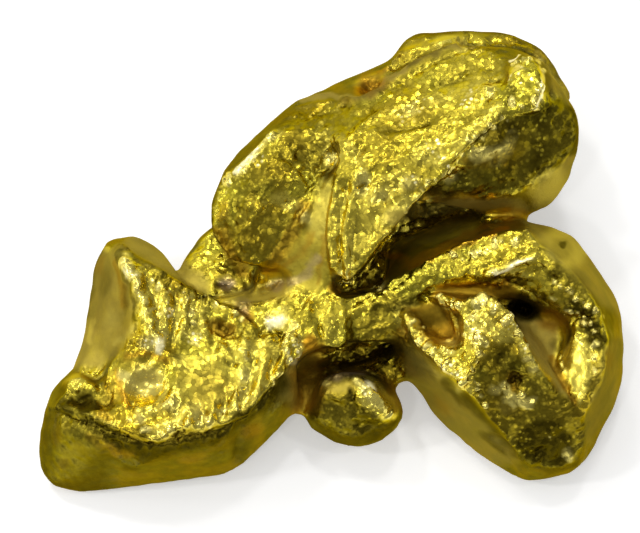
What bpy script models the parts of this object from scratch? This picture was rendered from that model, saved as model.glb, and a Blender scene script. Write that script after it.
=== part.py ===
"""A cluster of gold crystals grown together into one solid, lying as it rests on a table.

The specimen shows its best face to someone looking down on it from SHOW_ELEVATION above the horizon. Every corner
below is given as (x, y, h) in millimetres: x and y across that show face, h the height above the table.
"""

import math

import bmesh
import bpy
from mathutils import Matrix, Vector

MM = 0.001
SHOW_ELEVATION = math.radians(72)

VOXEL = 0.22 * MM
SWELL = 0.07 * MM
ROUNDING_PASSES = 5
ROUNDING_SHARE = 0.5
TRIANGLES = 9300
FOOT_CUT = 0.30 * MM

GOLD_COLOUR = (0.80, 0.56, 0.07, 1.0)
GOLD_ROUGHNESS = 0.28


LOBES = {
    "west_peak": [
        (-9.25, 0.95, 3.4), (-8.0, 1.1, 3.2), (-6.8, 0.25, 3.0), (-8.7, 0.2, 5.2), (-8.3, -0.3, 5.7),
        (-9.6, 0.1, 3.0), (-5.6, -1.3, 5.4), (-9.75, -1.5, 2.6), (-9.9, -2.8, 2.4), (-10.3, -4.2, 2.4),
        (-8.7, -2.4, 4.2), (-8.8, -4.2, 4.2), (-7.5, -3.0, 5.6), (-6.0, -3.5, 5.1),
        (-9.0, 0.2, 1.2), (-9.4, -2.5, 0.6), (-9.8, -4.0, 0.6), (-7.0, -0.3, 1.2), (-6.0, -3.0, 0.8),
    ],
    "west_corner": [
        (-12.05, -8.4, 0.9), (-11.95, -7.5, 2.0), (-11.5, -9.35, 0.8), (-10.3, -9.62, 0.5), (-8.5, -9.45, 0.5),
        (-11.1, -4.85, 3.0), (-11.5, -5.45, 2.8), (-11.7, -6.1, 2.6), (-10.4, -4.4, 2.8),
        (-10.4, -5.1, 4.4), (-11.0, -6.0, 4.1), (-9.8, -6.6, 4.7), (-10.9, -7.0, 3.8),
        (-9.0, -5.2, 4.3), (-8.9, -7.1, 5.0), (-11.0, -8.5, 0.0), (-9.5, -9.0, 0.0), (-9.5, -5.5, 0.0),
        (-8.0, -8.6, 0.0), (-7.6, -5.0, 0.0),
    ],
    "west_slab": [
        (-9.0, -6.9, 4.9), (-8.4, -7.3, 5.0), (-7.2, -7.6, 5.1), (-4.6, -7.1, 5.1), (-3.0, -6.1, 5.2),
        (-2.3, -5.0, 5.3), (-1.4, -3.9, 5.3), (-5.2, -1.8, 5.3), (-6.8, -2.4, 5.3), (-3.0, -2.6, 5.2),
        (-8.3, -5.6, 4.7), (-7.6, -3.4, 5.2),
        (-8.5, -9.4, 0.6), (-6.0, -9.0, 0.7), (-4.3, -8.85, 1.0), (-3.45, -8.3, 1.4), (-2.8, -7.35, 1.8),
        (-2.15, -6.6, 2.2), (-1.3, -6.1, 2.4),
        (-8.5, -8.5, 0.0), (-5.0, -8.0, 0.0), (-3.0, -6.0, 0.8), (-2.0, -4.0, 1.0), (-5.0, -2.0, 0.8),
        (-8.0, -4.0, 0.0),
    ],
    "west_root": [
        (-9.9, -2.6, 2.2), (-8.2, -1.8, 3.6), (-7.0, -4.5, 3.9), (-9.0, -6.0, 3.8), (-10.6, -4.8, 3.0),
        (-9.6, -3.8, 3.5), (-9.9, -3.2, 0.5), (-7.0, -3.0, 0.5), (-8.0, -5.5, 0.4), (-10.4, -5.0, 0.5),
    ],
    "bowl_rim": [
        (-9.0, -4.3, 4.5), (-8.6, -3.7, 4.8), (-7.4, -3.5, 5.1), (-9.1, -5.6, 4.6), (-8.6, -6.5, 4.9),
        (-7.6, -7.0, 5.0), (-6.6, -6.4, 5.1), (-6.5, -4.2, 5.1), (-8.6, -4.0, 3.0), (-8.8, -6.0, 3.0), (-7.0, -5.5, 3.0),
    ],
    "back_bridge": [
        (-1.4, 6.45, 5.2), (-0.7, 6.95, 5.4), (0.2, 7.0, 5.4), (0.5, 6.5, 6.3), (-0.5, 6.1, 6.3), (-1.2, 5.8, 6.0),
        (0.2, 6.2, 3.6), (-1.0, 5.8, 3.6),
    ],
    "back_lobe": [
        (-6.1, 0.1, 2.6), (-5.5, 0.9, 2.4), (-4.7, 1.6, 2.4), (-3.0, 2.0, 2.6), (-4.6, -0.6, 3.4),
        (-5.8, -0.6, 3.2), (-3.0, -0.5, 3.6), (-5.0, 0.5, 0.8), (-3.0, 1.5, 0.8), (-4.0, -1.0, 0.6),
        (-5.5, -1.5, 1.0), (-5.5, -1.6, 3.4),
    ],
    "upper_body": [
        (-0.6, 5.6, 6.4), (0.6, 6.4, 6.5), (2.3, 7.0, 6.8), (3.4, 8.0, 6.7), (5.2, 8.9, 6.6), (7.2, 8.8, 6.8),
        (8.4, 8.3, 6.9), (0.4, 4.6, 7.8), (3.0, 3.8, 8.2), (4.4, 3.3, 8.1), (5.5, 4.7, 8.5), (6.9, 5.9, 8.7),
        (8.4, 6.5, 8.6), (8.6, 7.7, 8.2), (9.3, 7.3, 7.3), (10.1, 6.0, 7.0), (10.28, 5.2, 6.7), (9.75, 4.3, 6.3),
        (8.3, 3.5, 6.4), (7.0, 2.6, 6.3), (5.2, 2.4, 6.4), (9.95, 3.55, 4.6),
        (9.55, 2.8, 4.3), (8.95, 2.15, 4.0), (8.1, 1.8, 3.8), (7.2, 2.05, 4.4), (5.2, 2.2, 5.4), (3.8, 2.4, 6.5),
        (8.5, 3.6, 3.0), (5.0, 4.0, 3.6), (2.0, 4.6, 3.6), (8.8, 6.5, 2.6), (5.0, 7.5, 2.6), (0.0, 5.5, 3.5),
    ],
    "upper_end": [
        (7.6, 6.6, 8.8), (8.5, 6.6, 8.8), (8.75, 7.4, 8.6), (8.3, 8.2, 8.1), (7.5, 8.1, 8.2), (7.2, 7.3, 8.6),
        (7.0, 6.2, 6.0), (9.2, 6.4, 6.0), (9.2, 8.0, 6.0), (7.2, 8.8, 6.0),
    ],
    "upper_shelf": [
        (5.6, 4.5, 7.9), (6.2, 4.1, 7.7), (7.2, 4.6, 7.4), (7.5, 5.3, 7.7), (6.6, 5.5, 8.2), (6.0, 3.8, 5.0),
        (7.4, 4.4, 5.0),
    ],
    "upper_knob": [
        (-4.95, 2.0, 5.2), (-4.9, 1.0, 4.9), (-4.3, 0.1, 5.0), (-3.3, -0.4, 5.2), (-2.4, 0.3, 5.4),
        (-1.6, 0.9, 5.6), (-1.3, 2.0, 6.2), (-1.2, 3.8, 7.0), (-4.4, 3.7, 5.6), (-3.8, 3.9, 6.4),
        (-2.3, 5.2, 6.8), (-3.1, 5.2, 5.4), (-1.2, 6.8, 5.2), (-3.0, 2.4, 6.8), (-2.2, 3.8, 7.1),
        (-4.2, 1.5, 3.6), (-3.5, 3.8, 3.6), (-1.5, 1.5, 3.8), (-1.0, 5.5, 3.4), (0.6, 5.2, 6.8), (1.0, 6.0, 4.0),
    ],
    "tongue": [
        (0.0, 0.3, 6.2), (0.25, -0.8, 5.9), (0.75, -1.1, 5.9), (1.3, -0.2, 6.3), (2.4, 1.1, 7.0),
        (3.4, 2.4, 7.7), (0.25, 1.8, 7.1), (0.55, 3.2, 7.7), (0.4, 4.8, 7.7), (3.2, 4.4, 8.35), (4.4, 3.3, 8.2),
        (0.4, 0.5, 5.2), (1.0, 0.2, 5.2), (2.6, 2.2, 6.0), (1.0, 3.0, 5.4), (1.4, 5.0, 5.4), (3.4, 4.4, 6.0),
    ],
    "back_shelf": [
        (-0.6, 7.0, 5.0), (0.4, 7.0, 5.0), (1.3, 7.65, 5.0), (2.3, 7.8, 5.0), (5.4, 9.5, 5.2), (7.3, 9.55, 5.4),
        (8.2, 9.15, 5.4), (9.0, 8.55, 5.2), (9.6, 7.65, 5.2), (10.2, 6.7, 5.2),
        (2.3, 6.7, 2.4), (3.4, 8.0, 2.6), (7.8, 8.2, 2.5), (8.9, 6.6, 2.4), (3.0, 6.0, 6.0), (8.0, 6.0, 6.0),
        (4.1, 6.9, 0.0), (5.2, 7.5, 0.0), (6.8, 7.3, 0.0), (7.4, 6.3, 0.0), (6.3, 5.2, 0.0), (4.6, 5.4, 0.0),
    ],
    "back_pit_rim": [
        (0.5, 7.05, 5.0), (1.0, 7.5, 5.0), (1.7, 7.78, 5.1), (2.5, 7.95, 5.4), (2.4, 7.3, 6.2), (1.2, 6.9, 6.2),
        (0.4, 6.6, 6.0), (1.0, 6.8, 3.0), (2.2, 7.0, 3.0),
    ],
    "back_crest": [
        (2.5, 8.2, 5.6), (3.05, 9.2, 5.4), (3.5, 9.55, 5.4), (5.4, 9.5, 5.6), (5.0, 8.8, 6.5), (3.4, 8.0, 6.4),
        (3.6, 8.0, 3.0), (5.5, 8.0, 3.0),
    ],
    "centre_knot": [
        (-5.0, -1.6, 5.0), (-3.4, -1.8, 4.8), (-1.5, -1.2, 5.2), (-0.3, -1.2, 5.3), (0.6, -1.4, 5.3),
        (0.6, -2.9, 5.1), (-0.2, -3.2, 5.0), (-1.3, -3.9, 5.3), (-3.0, -3.6, 5.2), (-5.0, -3.4, 5.0),
        (-4.0, -1.5, 1.4), (0.0, -1.5, 1.6), (0.2, -3.0, 2.6), (-2.0, -4.0, 1.4), (-5.0, -3.0, 1.0),
    ],
    "centre_drop": [
        (-0.15, -2.2, 5.3), (0.7, -2.2, 5.3), (-0.15, -3.4, 5.2), (0.1, -3.65, 5.1), (0.5, -3.65, 5.1),
        (0.7, -3.4, 5.2), (0.0, -2.4, 4.4), (0.6, -2.4, 4.4), (0.1, -3.5, 4.6), (0.5, -3.5, 4.6),
    ],
    "web": [
        (-1.1, 1.4, 5.3), (-0.45, 2.9, 6.7), (0.1, 3.5, 7.4), (0.7, 2.8, 7.2), (0.4, 0.2, 5.9),
        (-2.6, -0.6, 4.2), (-0.2, -1.3, 5.2), (-3.4, -1.4, 4.4), (-0.1, 2.2, 6.7), (0.6, 4.0, 6.0),
        (-1.0, 1.2, 1.6), (0.4, 3.0, 3.0), (0.8, 0.0, 1.8), (-3.0, -1.0, 1.4), (-1.4, 3.4, 4.0),
    ],
    "middle_root": [
        (-6.3, -0.3, 2.4), (-5.0, 1.0, 2.2), (-1.0, 3.2, 3.6), (0.6, 3.6, 3.6), (3.5, 4.5, 2.6), (8.0, 2.3, 2.8),
        (7.8, 1.2, 2.6), (2.6, -0.9, 2.6), (0.4, -3.4, 2.8), (-3.0, -4.0, 3.0), (-6.0, -2.2, 3.0),
        (-5.0, 0.0, 0.6), (0.0, 3.0, 0.8), (7.0, 2.4, 1.2), (2.0, -2.0, 0.8), (-4.0, -3.0, 0.6),
    ],
    "east_neck": [
        (0.3, -1.5, 5.2), (3.0, -1.3, 5.4), (3.9, -1.9, 5.3), (3.0, -2.4, 5.1), (2.7, -3.2, 4.5), (0.7, -3.3, 4.6),
        (0.5, -1.5, 2.0), (3.4, -1.5, 2.0), (3.2, -2.8, 2.4), (0.8, -3.1, 2.6),
    ],
    "east_arm": [
        (2.0, -1.3, 5.3), (4.2, -0.1, 6.0), (5.4, 0.6, 6.4), (7.2, 1.1, 6.8), (8.2, 1.2, 6.9), (4.4, -0.9, 5.8),
        (6.8, -0.5, 6.6), (8.6, 0.3, 7.0), (2.5, 0.5, 3.2), (5.0, 1.7, 3.2), (7.5, 2.0, 3.7),
        (3.0, -1.6, 2.2), (5.0, -1.0, 2.6), (8.0, -1.0, 3.0), (5.0, 2.0, 2.0), (7.8, 1.6, 2.0),
    ],
    "east_block": [
        (7.2, -0.9, 5.9), (8.5, 0.4, 6.9), (9.1, 0.3, 6.8), (10.4, -1.2, 6.3), (11.0, -2.2, 6.0),
        (9.7, -2.4, 5.5), (8.6, -1.8, 5.6), (7.5, -1.3, 5.7), (7.5, 1.2, 6.6), (8.0, 1.55, 4.5), (9.1, 1.4, 4.4),
        (10.1, 1.0, 4.0), (10.85, 0.0, 3.6), (11.5, -1.1, 3.2), (12.0, -2.1, 2.8), (12.1, -3.5, 2.4),
        (9.5, -0.5, 0.6), (11.0, -3.5, 0.0), (8.5, 0.0, 1.2), (9.0, -2.4, 0.8),
    ],
    "east_rim": [
        (10.0, -2.6, 5.6), (10.9, -2.2, 6.0), (11.35, -3.0, 5.7), (11.1, -4.6, 5.35), (10.35, -6.1, 4.8),
        (9.6, -4.2, 5.1), (10.0, -3.1, 5.5), (12.1, -3.2, 2.4), (12.0, -4.9, 2.0), (11.5, -6.3, 1.6),
        (10.9, -7.4, 1.0), (10.5, -8.3, 0.7), (9.5, -4.5, 3.4), (9.9, -5.8, 3.4), (9.7, -2.8, 3.4),
        (11.0, -3.5, 0.0), (10.5, -6.5, 0.0), (9.5, -4.0, 0.0),
    ],
    "east_floor": [
        (7.4, -2.2, 4.5), (9.8, -2.4, 4.6), (9.9, -4.5, 4.3), (10.1, -6.0, 4.2), (8.4, -4.8, 4.4),
        (7.4, -2.2, 1.0), (9.8, -2.4, 1.0), (10.0, -5.8, 0.6), (8.4, -4.8, 0.6),
    ],
    "east_hood": [
        (6.0, -1.75, 6.7), (6.9, -1.9, 6.7), (7.5, -2.8, 6.5), (5.4, -2.4, 6.4), (5.8, -4.2, 6.2),
        (5.4, -4.9, 5.8), (8.0, -3.7, 6.0), (9.3, -5.3, 5.0), (10.3, -6.1, 4.5), (10.4, -7.7, 2.9),
        (9.9, -8.4, 2.2), (8.4, -8.4, 2.7), (6.4, -6.2, 4.8),
        (3.5, -5.3, 1.2), (4.9, -7.05, 0.8), (6.2, -8.15, 0.6), (7.6, -8.95, 0.7), (8.6, -9.1, 1.0),
        (9.7, -8.85, 1.2), (10.4, -8.3, 1.2),
        (4.5, -5.5, 0.0), (7.5, -8.0, 0.0), (9.5, -7.8, 0.0), (7.0, -3.0, 0.5), (9.5, -4.0, 0.3),
    ],
    "hood_spur": [
        (4.2, -1.35, 5.6), (5.5, -1.85, 6.3), (6.4, -1.65, 6.6), (5.6, -2.3, 6.3), (4.9, -1.9, 5.9),
        (4.4, -1.5, 3.0), (6.2, -1.9, 3.0), (5.4, -2.4, 3.0),
    ],
    "slot_bed": [
        (4.3, -0.8, 5.1), (4.3, -1.6, 5.1), (5.6, -0.7, 5.5), (7.3, -0.8, 5.6), (7.3, -1.5, 5.5), (5.6, -1.8, 5.4),
        (4.3, -1.2, 3.0), (7.3, -1.1, 3.0),
    ],
    "amber_bed": [
        (3.1, -2.1, 4.8), (3.9, -1.7, 5.0), (4.9, -1.6, 5.2), (5.5, -2.6, 5.3), (5.2, -3.5, 5.2), (4.0, -3.3, 4.8),
        (3.4, -2.4, 2.8), (5.2, -2.4, 2.8),
    ],
    "hood_edge": [
        (2.9, -2.1, 5.1), (3.8, -3.1, 5.5), (4.6, -4.1, 5.7), (5.4, -5.0, 5.9), (5.9, -3.8, 6.0),
        (5.2, -3.0, 5.4), (2.7, -3.2, 3.8), (2.6, -4.5, 2.2), (3.2, -5.0, 1.4), (5.0, -5.8, 2.0), (4.0, -4.0, 0.6),
        (6.0, -4.5, 0.6), (3.2, -2.6, 2.0),
    ],
    "east_root": [
        (2.4, -1.4, 2.8), (5.0, -0.4, 3.4), (7.8, 0.4, 3.4), (10.2, -1.0, 3.4), (10.4, -5.0, 3.4),
        (6.0, -5.2, 3.2), (3.2, -3.8, 3.0), (4.2, -2.4, 4.2), (6.0, -1.3, 4.2), (7.6, -1.2, 4.0),
        (3.0, -1.6, 0.8), (8.0, 0.0, 0.8), (10.0, -4.0, 0.4), (6.0, -5.0, 0.4),
    ],
    "nub": [
        (-0.3, -4.75, 4.0), (0.4, -4.5, 4.2), (1.7, -4.7, 3.8), (0.9, -5.1, 4.5), (2.2, -5.3, 3.6), (1.7, -5.8, 4.4),
        (2.8, -6.0, 3.1), (-0.3, -5.5, 4.1), (-0.6, -6.4, 3.0), (0.6, -7.1, 2.7), (1.4, -7.1, 2.8),
        (2.3, -6.4, 3.7), (2.5, -6.9, 2.7), (-0.98, -6.85, 1.8), (0.15, -7.6, 1.4), (1.1, -7.78, 1.3),
        (2.05, -7.58, 1.4), (3.1, -6.4, 2.0), (3.0, -5.8, 2.4), (0.2, -6.6, 0.8), (2.0, -6.6, 0.8), (0.0, -5.0, 1.0),
        (2.0, -5.0, 1.0),
    ],
    "nub_root": [
        (-1.6, -5.4, 2.4), (-0.5, -5.3, 2.6), (-0.6, -6.4, 2.0), (-1.3, -6.3, 2.0), (2.3, -4.6, 2.8),
        (3.2, -4.2, 2.8), (2.6, -5.2, 2.4), (0.0, -3.2, 2.0), (3.0, -3.0, 2.0),
        (-1.0, -5.0, 0.9), (2.4, -4.8, 0.9), (0.5, -3.0, 0.9), (3.0, -3.0, 0.9),
    ],
    "nub_bed": [
        (-2.2, -4.6, 1.8), (-1.4, -5.8, 1.8), (0.0, -5.4, 2.2), (2.4, -5.0, 2.2), (3.2, -4.4, 2.2),
        (2.6, -3.2, 2.0), (-1.6, -3.2, 2.0), (-1.0, -5.4, 0.8), (2.2, -5.0, 0.8), (2.6, -3.4, 0.8),
        (-1.4, -3.4, 0.8),
    ],
}

# (x, y, h), (half widths along x, y and out of the show face), turn in the show face in degrees
HOLLOWS = {
    "bowl": ((-7.6, -5.0, 6.6), (1.35, 1.2, 1.95), -10),
    "corner_pit": ((-10.25, -5.75, 4.8), (0.55, 0.5, 1.0), 0),
    "centre_hole": ((-4.4, -2.75, 5.75), (0.75, 0.5, 0.95), -20),
    "centre_valley": ((-2.8, -0.9, 6.4), (1.6, 0.8, 2.4), 15),
    "saddle": ((-0.9, 4.4, 8.9), (0.9, 1.3, 2.2), -30),
    "orange_pit": ((1.65, 7.2, 6.25), (0.62, 0.5, 1.1), 20),
    "amber_hollow": ((4.3, -2.55, 6.15), (1.3, 0.75, 1.2), -34),
    "slot": ((6.2, -1.15, 6.65), (1.75, 0.4, 1.15), -6),
    "black_hole": ((7.95, -1.95, 4.6), (0.55, 0.4, 2.4), -10),
    "hood_hole": ((7.5, -4.9, 5.7), (0.28, 0.62, 0.8), 22),
    "dark_gap": ((1.1, -3.95, 3.8), (1.35, 0.38, 2.0), 12),
    "tongue_gap": ((0.9, -1.1, 4.9), (0.9, 0.35, 0.7), 20),
}


def laid(x, y, h):
    """The point at height h that shows at (x, y), with the table level."""
    depth = (y * MM - h * MM * math.cos(SHOW_ELEVATION)) / math.sin(SHOW_ELEVATION)
    return Vector((x * MM, depth, h * MM))


def clear_scene():
    for obj in list(bpy.data.objects):
        bpy.data.objects.remove(obj, do_unlink=True)


def add_object(name, bm):
    """Puts a bmesh into the scene as a named object."""
    mesh = bpy.data.meshes.new(name)
    bm.to_mesh(mesh)
    bm.free()
    obj = bpy.data.objects.new(name, mesh)
    bpy.context.scene.collection.objects.link(obj)
    return obj


def grown_lobes(name):
    """All the lobes as overlapping closed hulls in one mesh."""
    bm = bmesh.new()
    for corners in LOBES.values():
        points = [bm.verts.new(laid(*corner)) for corner in corners]
        hull = bmesh.ops.convex_hull(bm, input=points, use_existing_faces=False)
        inner = [v for v in hull["geom_interior"] if isinstance(v, bmesh.types.BMVert)]
        bmesh.ops.delete(bm, geom=inner, context="VERTS")
    bmesh.ops.recalc_face_normals(bm, faces=bm.faces)
    bm.normal_update()
    for vert in bm.verts:
        vert.co += vert.normal * SWELL
    return add_object(name, bm)


def hollow_cutter(name, place, half_widths, turn):
    """An ellipsoid whose axes lie along the show face and out of it."""
    bm = bmesh.new()
    bmesh.ops.create_icosphere(bm, subdivisions=4, radius=MM)
    lean = Matrix.Rotation(math.pi / 2 - SHOW_ELEVATION, 4, "X")
    shape = (
        Matrix.Translation(laid(*place))
        @ lean
        @ Matrix.Rotation(math.radians(turn), 4, "Z")
        @ Matrix.Diagonal((*half_widths, 1.0))
    )
    bmesh.ops.transform(bm, matrix=shape, verts=bm.verts)
    cutter = add_object(name, bm)
    hide_helper(cutter)
    return cutter


def table_cutter():
    """The block below the worn feet."""
    bm = bmesh.new()
    bmesh.ops.create_cube(bm, size=1.0)
    side = 40 * MM
    place = Matrix.Translation((0, 0, FOOT_CUT - side / 2)) @ Matrix.Scale(side, 4)
    bmesh.ops.transform(bm, matrix=place, verts=bm.verts)
    cutter = add_object("table_cut", bm)
    hide_helper(cutter)
    return cutter


def hide_helper(obj):
    obj.hide_render = True
    obj.display_type = "WIRE"


def voxel_remesh(obj, name):
    modifier = obj.modifiers.new(name, "REMESH")
    modifier.mode = "VOXEL"
    modifier.voxel_size = VOXEL


def smooth(obj, name, passes):
    modifier = obj.modifiers.new(name, "SMOOTH")
    modifier.factor = ROUNDING_SHARE
    modifier.iterations = passes


def cut(obj, cutter):
    modifier = obj.modifiers.new(cutter.name, "BOOLEAN")
    modifier.operation = "DIFFERENCE"
    modifier.object = cutter


def evaluated_mesh(obj):
    graph = bpy.context.evaluated_depsgraph_get()
    return bpy.data.meshes.new_from_object(obj.evaluated_get(graph))


def settle(obj):
    """Bakes the modifiers in, and moves the mesh so that the middle of its base is the origin."""
    mesh = evaluated_mesh(obj)
    obj.modifiers.clear()
    obj.data = mesh
    xs, ys, zs = zip(*((v.co.x, v.co.y, v.co.z) for v in mesh.vertices))
    middle = Vector(((min(xs) + max(xs)) / 2, (min(ys) + max(ys)) / 2, min(zs)))
    mesh.transform(Matrix.Translation(-middle))


def thin_out(obj):
    """Collapses edges to TRIANGLES."""
    mesh = evaluated_mesh(obj)
    mesh.calc_loop_triangles()
    modifier = obj.modifiers.new("thin_out", "DECIMATE")
    modifier.ratio = TRIANGLES / len(mesh.loop_triangles)
    bpy.data.meshes.remove(mesh)


def gold_material():
    material = bpy.data.materials.new("native_gold")
    material.use_nodes = True
    shader = material.node_tree.nodes["Principled BSDF"]
    shader.inputs["Base Color"].default_value = GOLD_COLOUR
    shader.inputs["Metallic"].default_value = 1.0
    shader.inputs["Roughness"].default_value = GOLD_ROUGHNESS
    return material


def main():
    clear_scene()
    specimen = grown_lobes("gold_crystals")
    voxel_remesh(specimen, "grow_together")
    smooth(specimen, "soften", ROUNDING_PASSES)
    for name, hollow in HOLLOWS.items():
        cut(specimen, hollow_cutter(name, *hollow))
    voxel_remesh(specimen, "even_out")
    smooth(specimen, "round_rims", 2)
    thin_out(specimen)
    cut(specimen, table_cutter())
    settle(specimen)
    specimen.data.materials.append(gold_material())


main()
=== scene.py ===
"""The gold crystal specimen: one mass of intergrown crystals with a hammered, sparkling skin."""

from __future__ import annotations

import logging
import math
from abc import ABC, abstractmethod
from collections.abc import Sequence
from dataclasses import dataclass
from enum import Enum

import bmesh
import bpy
import numpy as np
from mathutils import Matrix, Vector


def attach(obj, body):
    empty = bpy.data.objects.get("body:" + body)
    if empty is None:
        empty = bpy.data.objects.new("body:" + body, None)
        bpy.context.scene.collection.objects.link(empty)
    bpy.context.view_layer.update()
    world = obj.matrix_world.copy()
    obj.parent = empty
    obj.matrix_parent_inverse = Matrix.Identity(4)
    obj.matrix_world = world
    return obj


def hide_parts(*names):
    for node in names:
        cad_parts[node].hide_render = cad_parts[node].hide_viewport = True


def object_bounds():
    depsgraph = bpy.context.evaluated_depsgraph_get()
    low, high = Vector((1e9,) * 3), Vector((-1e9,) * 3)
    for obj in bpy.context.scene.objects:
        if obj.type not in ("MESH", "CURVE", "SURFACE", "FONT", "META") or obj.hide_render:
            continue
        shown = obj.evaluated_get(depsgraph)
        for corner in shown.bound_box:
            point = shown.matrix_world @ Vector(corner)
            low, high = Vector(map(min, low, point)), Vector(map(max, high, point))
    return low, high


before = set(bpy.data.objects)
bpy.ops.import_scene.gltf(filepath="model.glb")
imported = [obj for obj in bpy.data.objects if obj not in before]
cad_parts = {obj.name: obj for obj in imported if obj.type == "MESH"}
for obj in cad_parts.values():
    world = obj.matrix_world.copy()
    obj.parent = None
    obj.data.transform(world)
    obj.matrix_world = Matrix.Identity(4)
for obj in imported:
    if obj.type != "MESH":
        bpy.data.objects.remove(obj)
CAD_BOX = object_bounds()

LOG = logging.getLogger("gold_specimen")

MM = 0.001
NODE = "gold_crystals"
SLOT = "native_gold"

Array = np.ndarray
Pair = tuple[float, float]
Path = tuple[Pair, ...]
Triple = tuple[float, float, float]
Colour = tuple[float, float, float, float]


def smoothstep(low: float, high: float, value: Array) -> Array:
    """Rises from 0 at low to 1 at high along 3t^2 - 2t^3.

    Args:
        low: Value at which the rise starts.
        high: Value at which it ends; below low, the rise is a fall.
        value: Values to map.

    Returns:
        The mapped values, from 0 to 1.
    """
    t = np.clip((value - low) / (high - low), 0.0, 1.0)
    return t * t * (3.0 - 2.0 * t)


def heading(azimuth: float, elevation: float) -> Triple:
    """Unit vector towards a place in the room.

    Args:
        azimuth: Degrees clockwise from +Y, seen from above.
        elevation: Degrees above the table.

    Returns:
        Its three coordinates.
    """
    turn, rise = math.radians(azimuth), math.radians(elevation)
    return math.sin(turn) * math.cos(rise), math.cos(turn) * math.cos(rise), math.sin(rise)


# ----------------------------------------------------------------------------------------------- the show face


@dataclass(frozen=True)
class Spots:
    """Where points lie on the show face: their two coordinates in it, in millimetres."""

    u: Array
    v: Array


@dataclass(frozen=True)
class ShowFace:
    """The plane in which the specimen's best face is laid out, and the eye that looks at it, in millimetres.

    The eye is a long lens over the plane: the frame is as wide as given, round the middle given in the plane, which
    stands at a height over the table and is shifted in space by the last field.
    """

    elevation: float = math.radians(72.0)
    lens: float = 500.0
    sensor: float = 36.0
    width: float = 26.24
    middle: Pair = (-0.41, -0.2255)
    height: float = 4.0
    shift: Triple = (-0.06775, 0.95574, -0.3)

    @property
    def distance(self) -> float:
        """Millimetres from the eye to the plane."""
        return self.width / self.sensor * self.lens

    @property
    def axes(self) -> tuple[Array, Array, Array]:
        """Unit vectors to the right, up the plane, and from the plane to the eye."""
        sine, cosine = math.sin(self.elevation), math.cos(self.elevation)
        return np.array((1.0, 0.0, 0.0)), np.array((0.0, sine, cosine)), np.array((0.0, -cosine, sine))

    @property
    def aim(self) -> Array:
        """The point that the eye looks at.

        Returns:
            Its three coordinates.
        """
        x, y = self.middle
        depth = (y - self.height * math.cos(self.elevation)) / math.sin(self.elevation)
        return np.array((x, depth, self.height)) + np.array(self.shift)

    @property
    def eye(self) -> Array:
        """Where the eye is."""
        return self.aim + self.axes[2] * self.distance

    def lay(self, points: Array) -> Spots:
        """Throws points from the eye onto the plane.

        Args:
            points: N by 3 positions in millimetres.

        Returns:
            Their places on the plane.
        """
        right, up, out = self.axes
        rays = points - self.eye
        scale = self.distance / -(rays @ out)
        return Spots(rays @ right * scale + self.middle[0], rays @ up * scale + self.middle[1])

    def facing(self, points: Array, normals: Array) -> Array:
        """Cosine between each normal and the way to the eye.

        Args:
            points: N by 3 positions in millimetres.
            normals: N by 3 unit normals.

        Returns:
            One cosine a point.
        """
        rays = self.eye - points
        rays /= np.linalg.norm(rays, axis=1, keepdims=True)
        return np.einsum("ij,ij->i", rays, normals)


FACE = ShowFace()


# ------------------------------------------------------------------------------------------------------- noise

TABLE = 256
WAVE_GAIN = 1.6
CRUMPLE_MEAN = 0.35
OCTAVE_SHIFT = 17.3
CELL_SHIFT = 40.0
BEAD_REACH = 0.75
FACET_SEAM = 0.12


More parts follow.
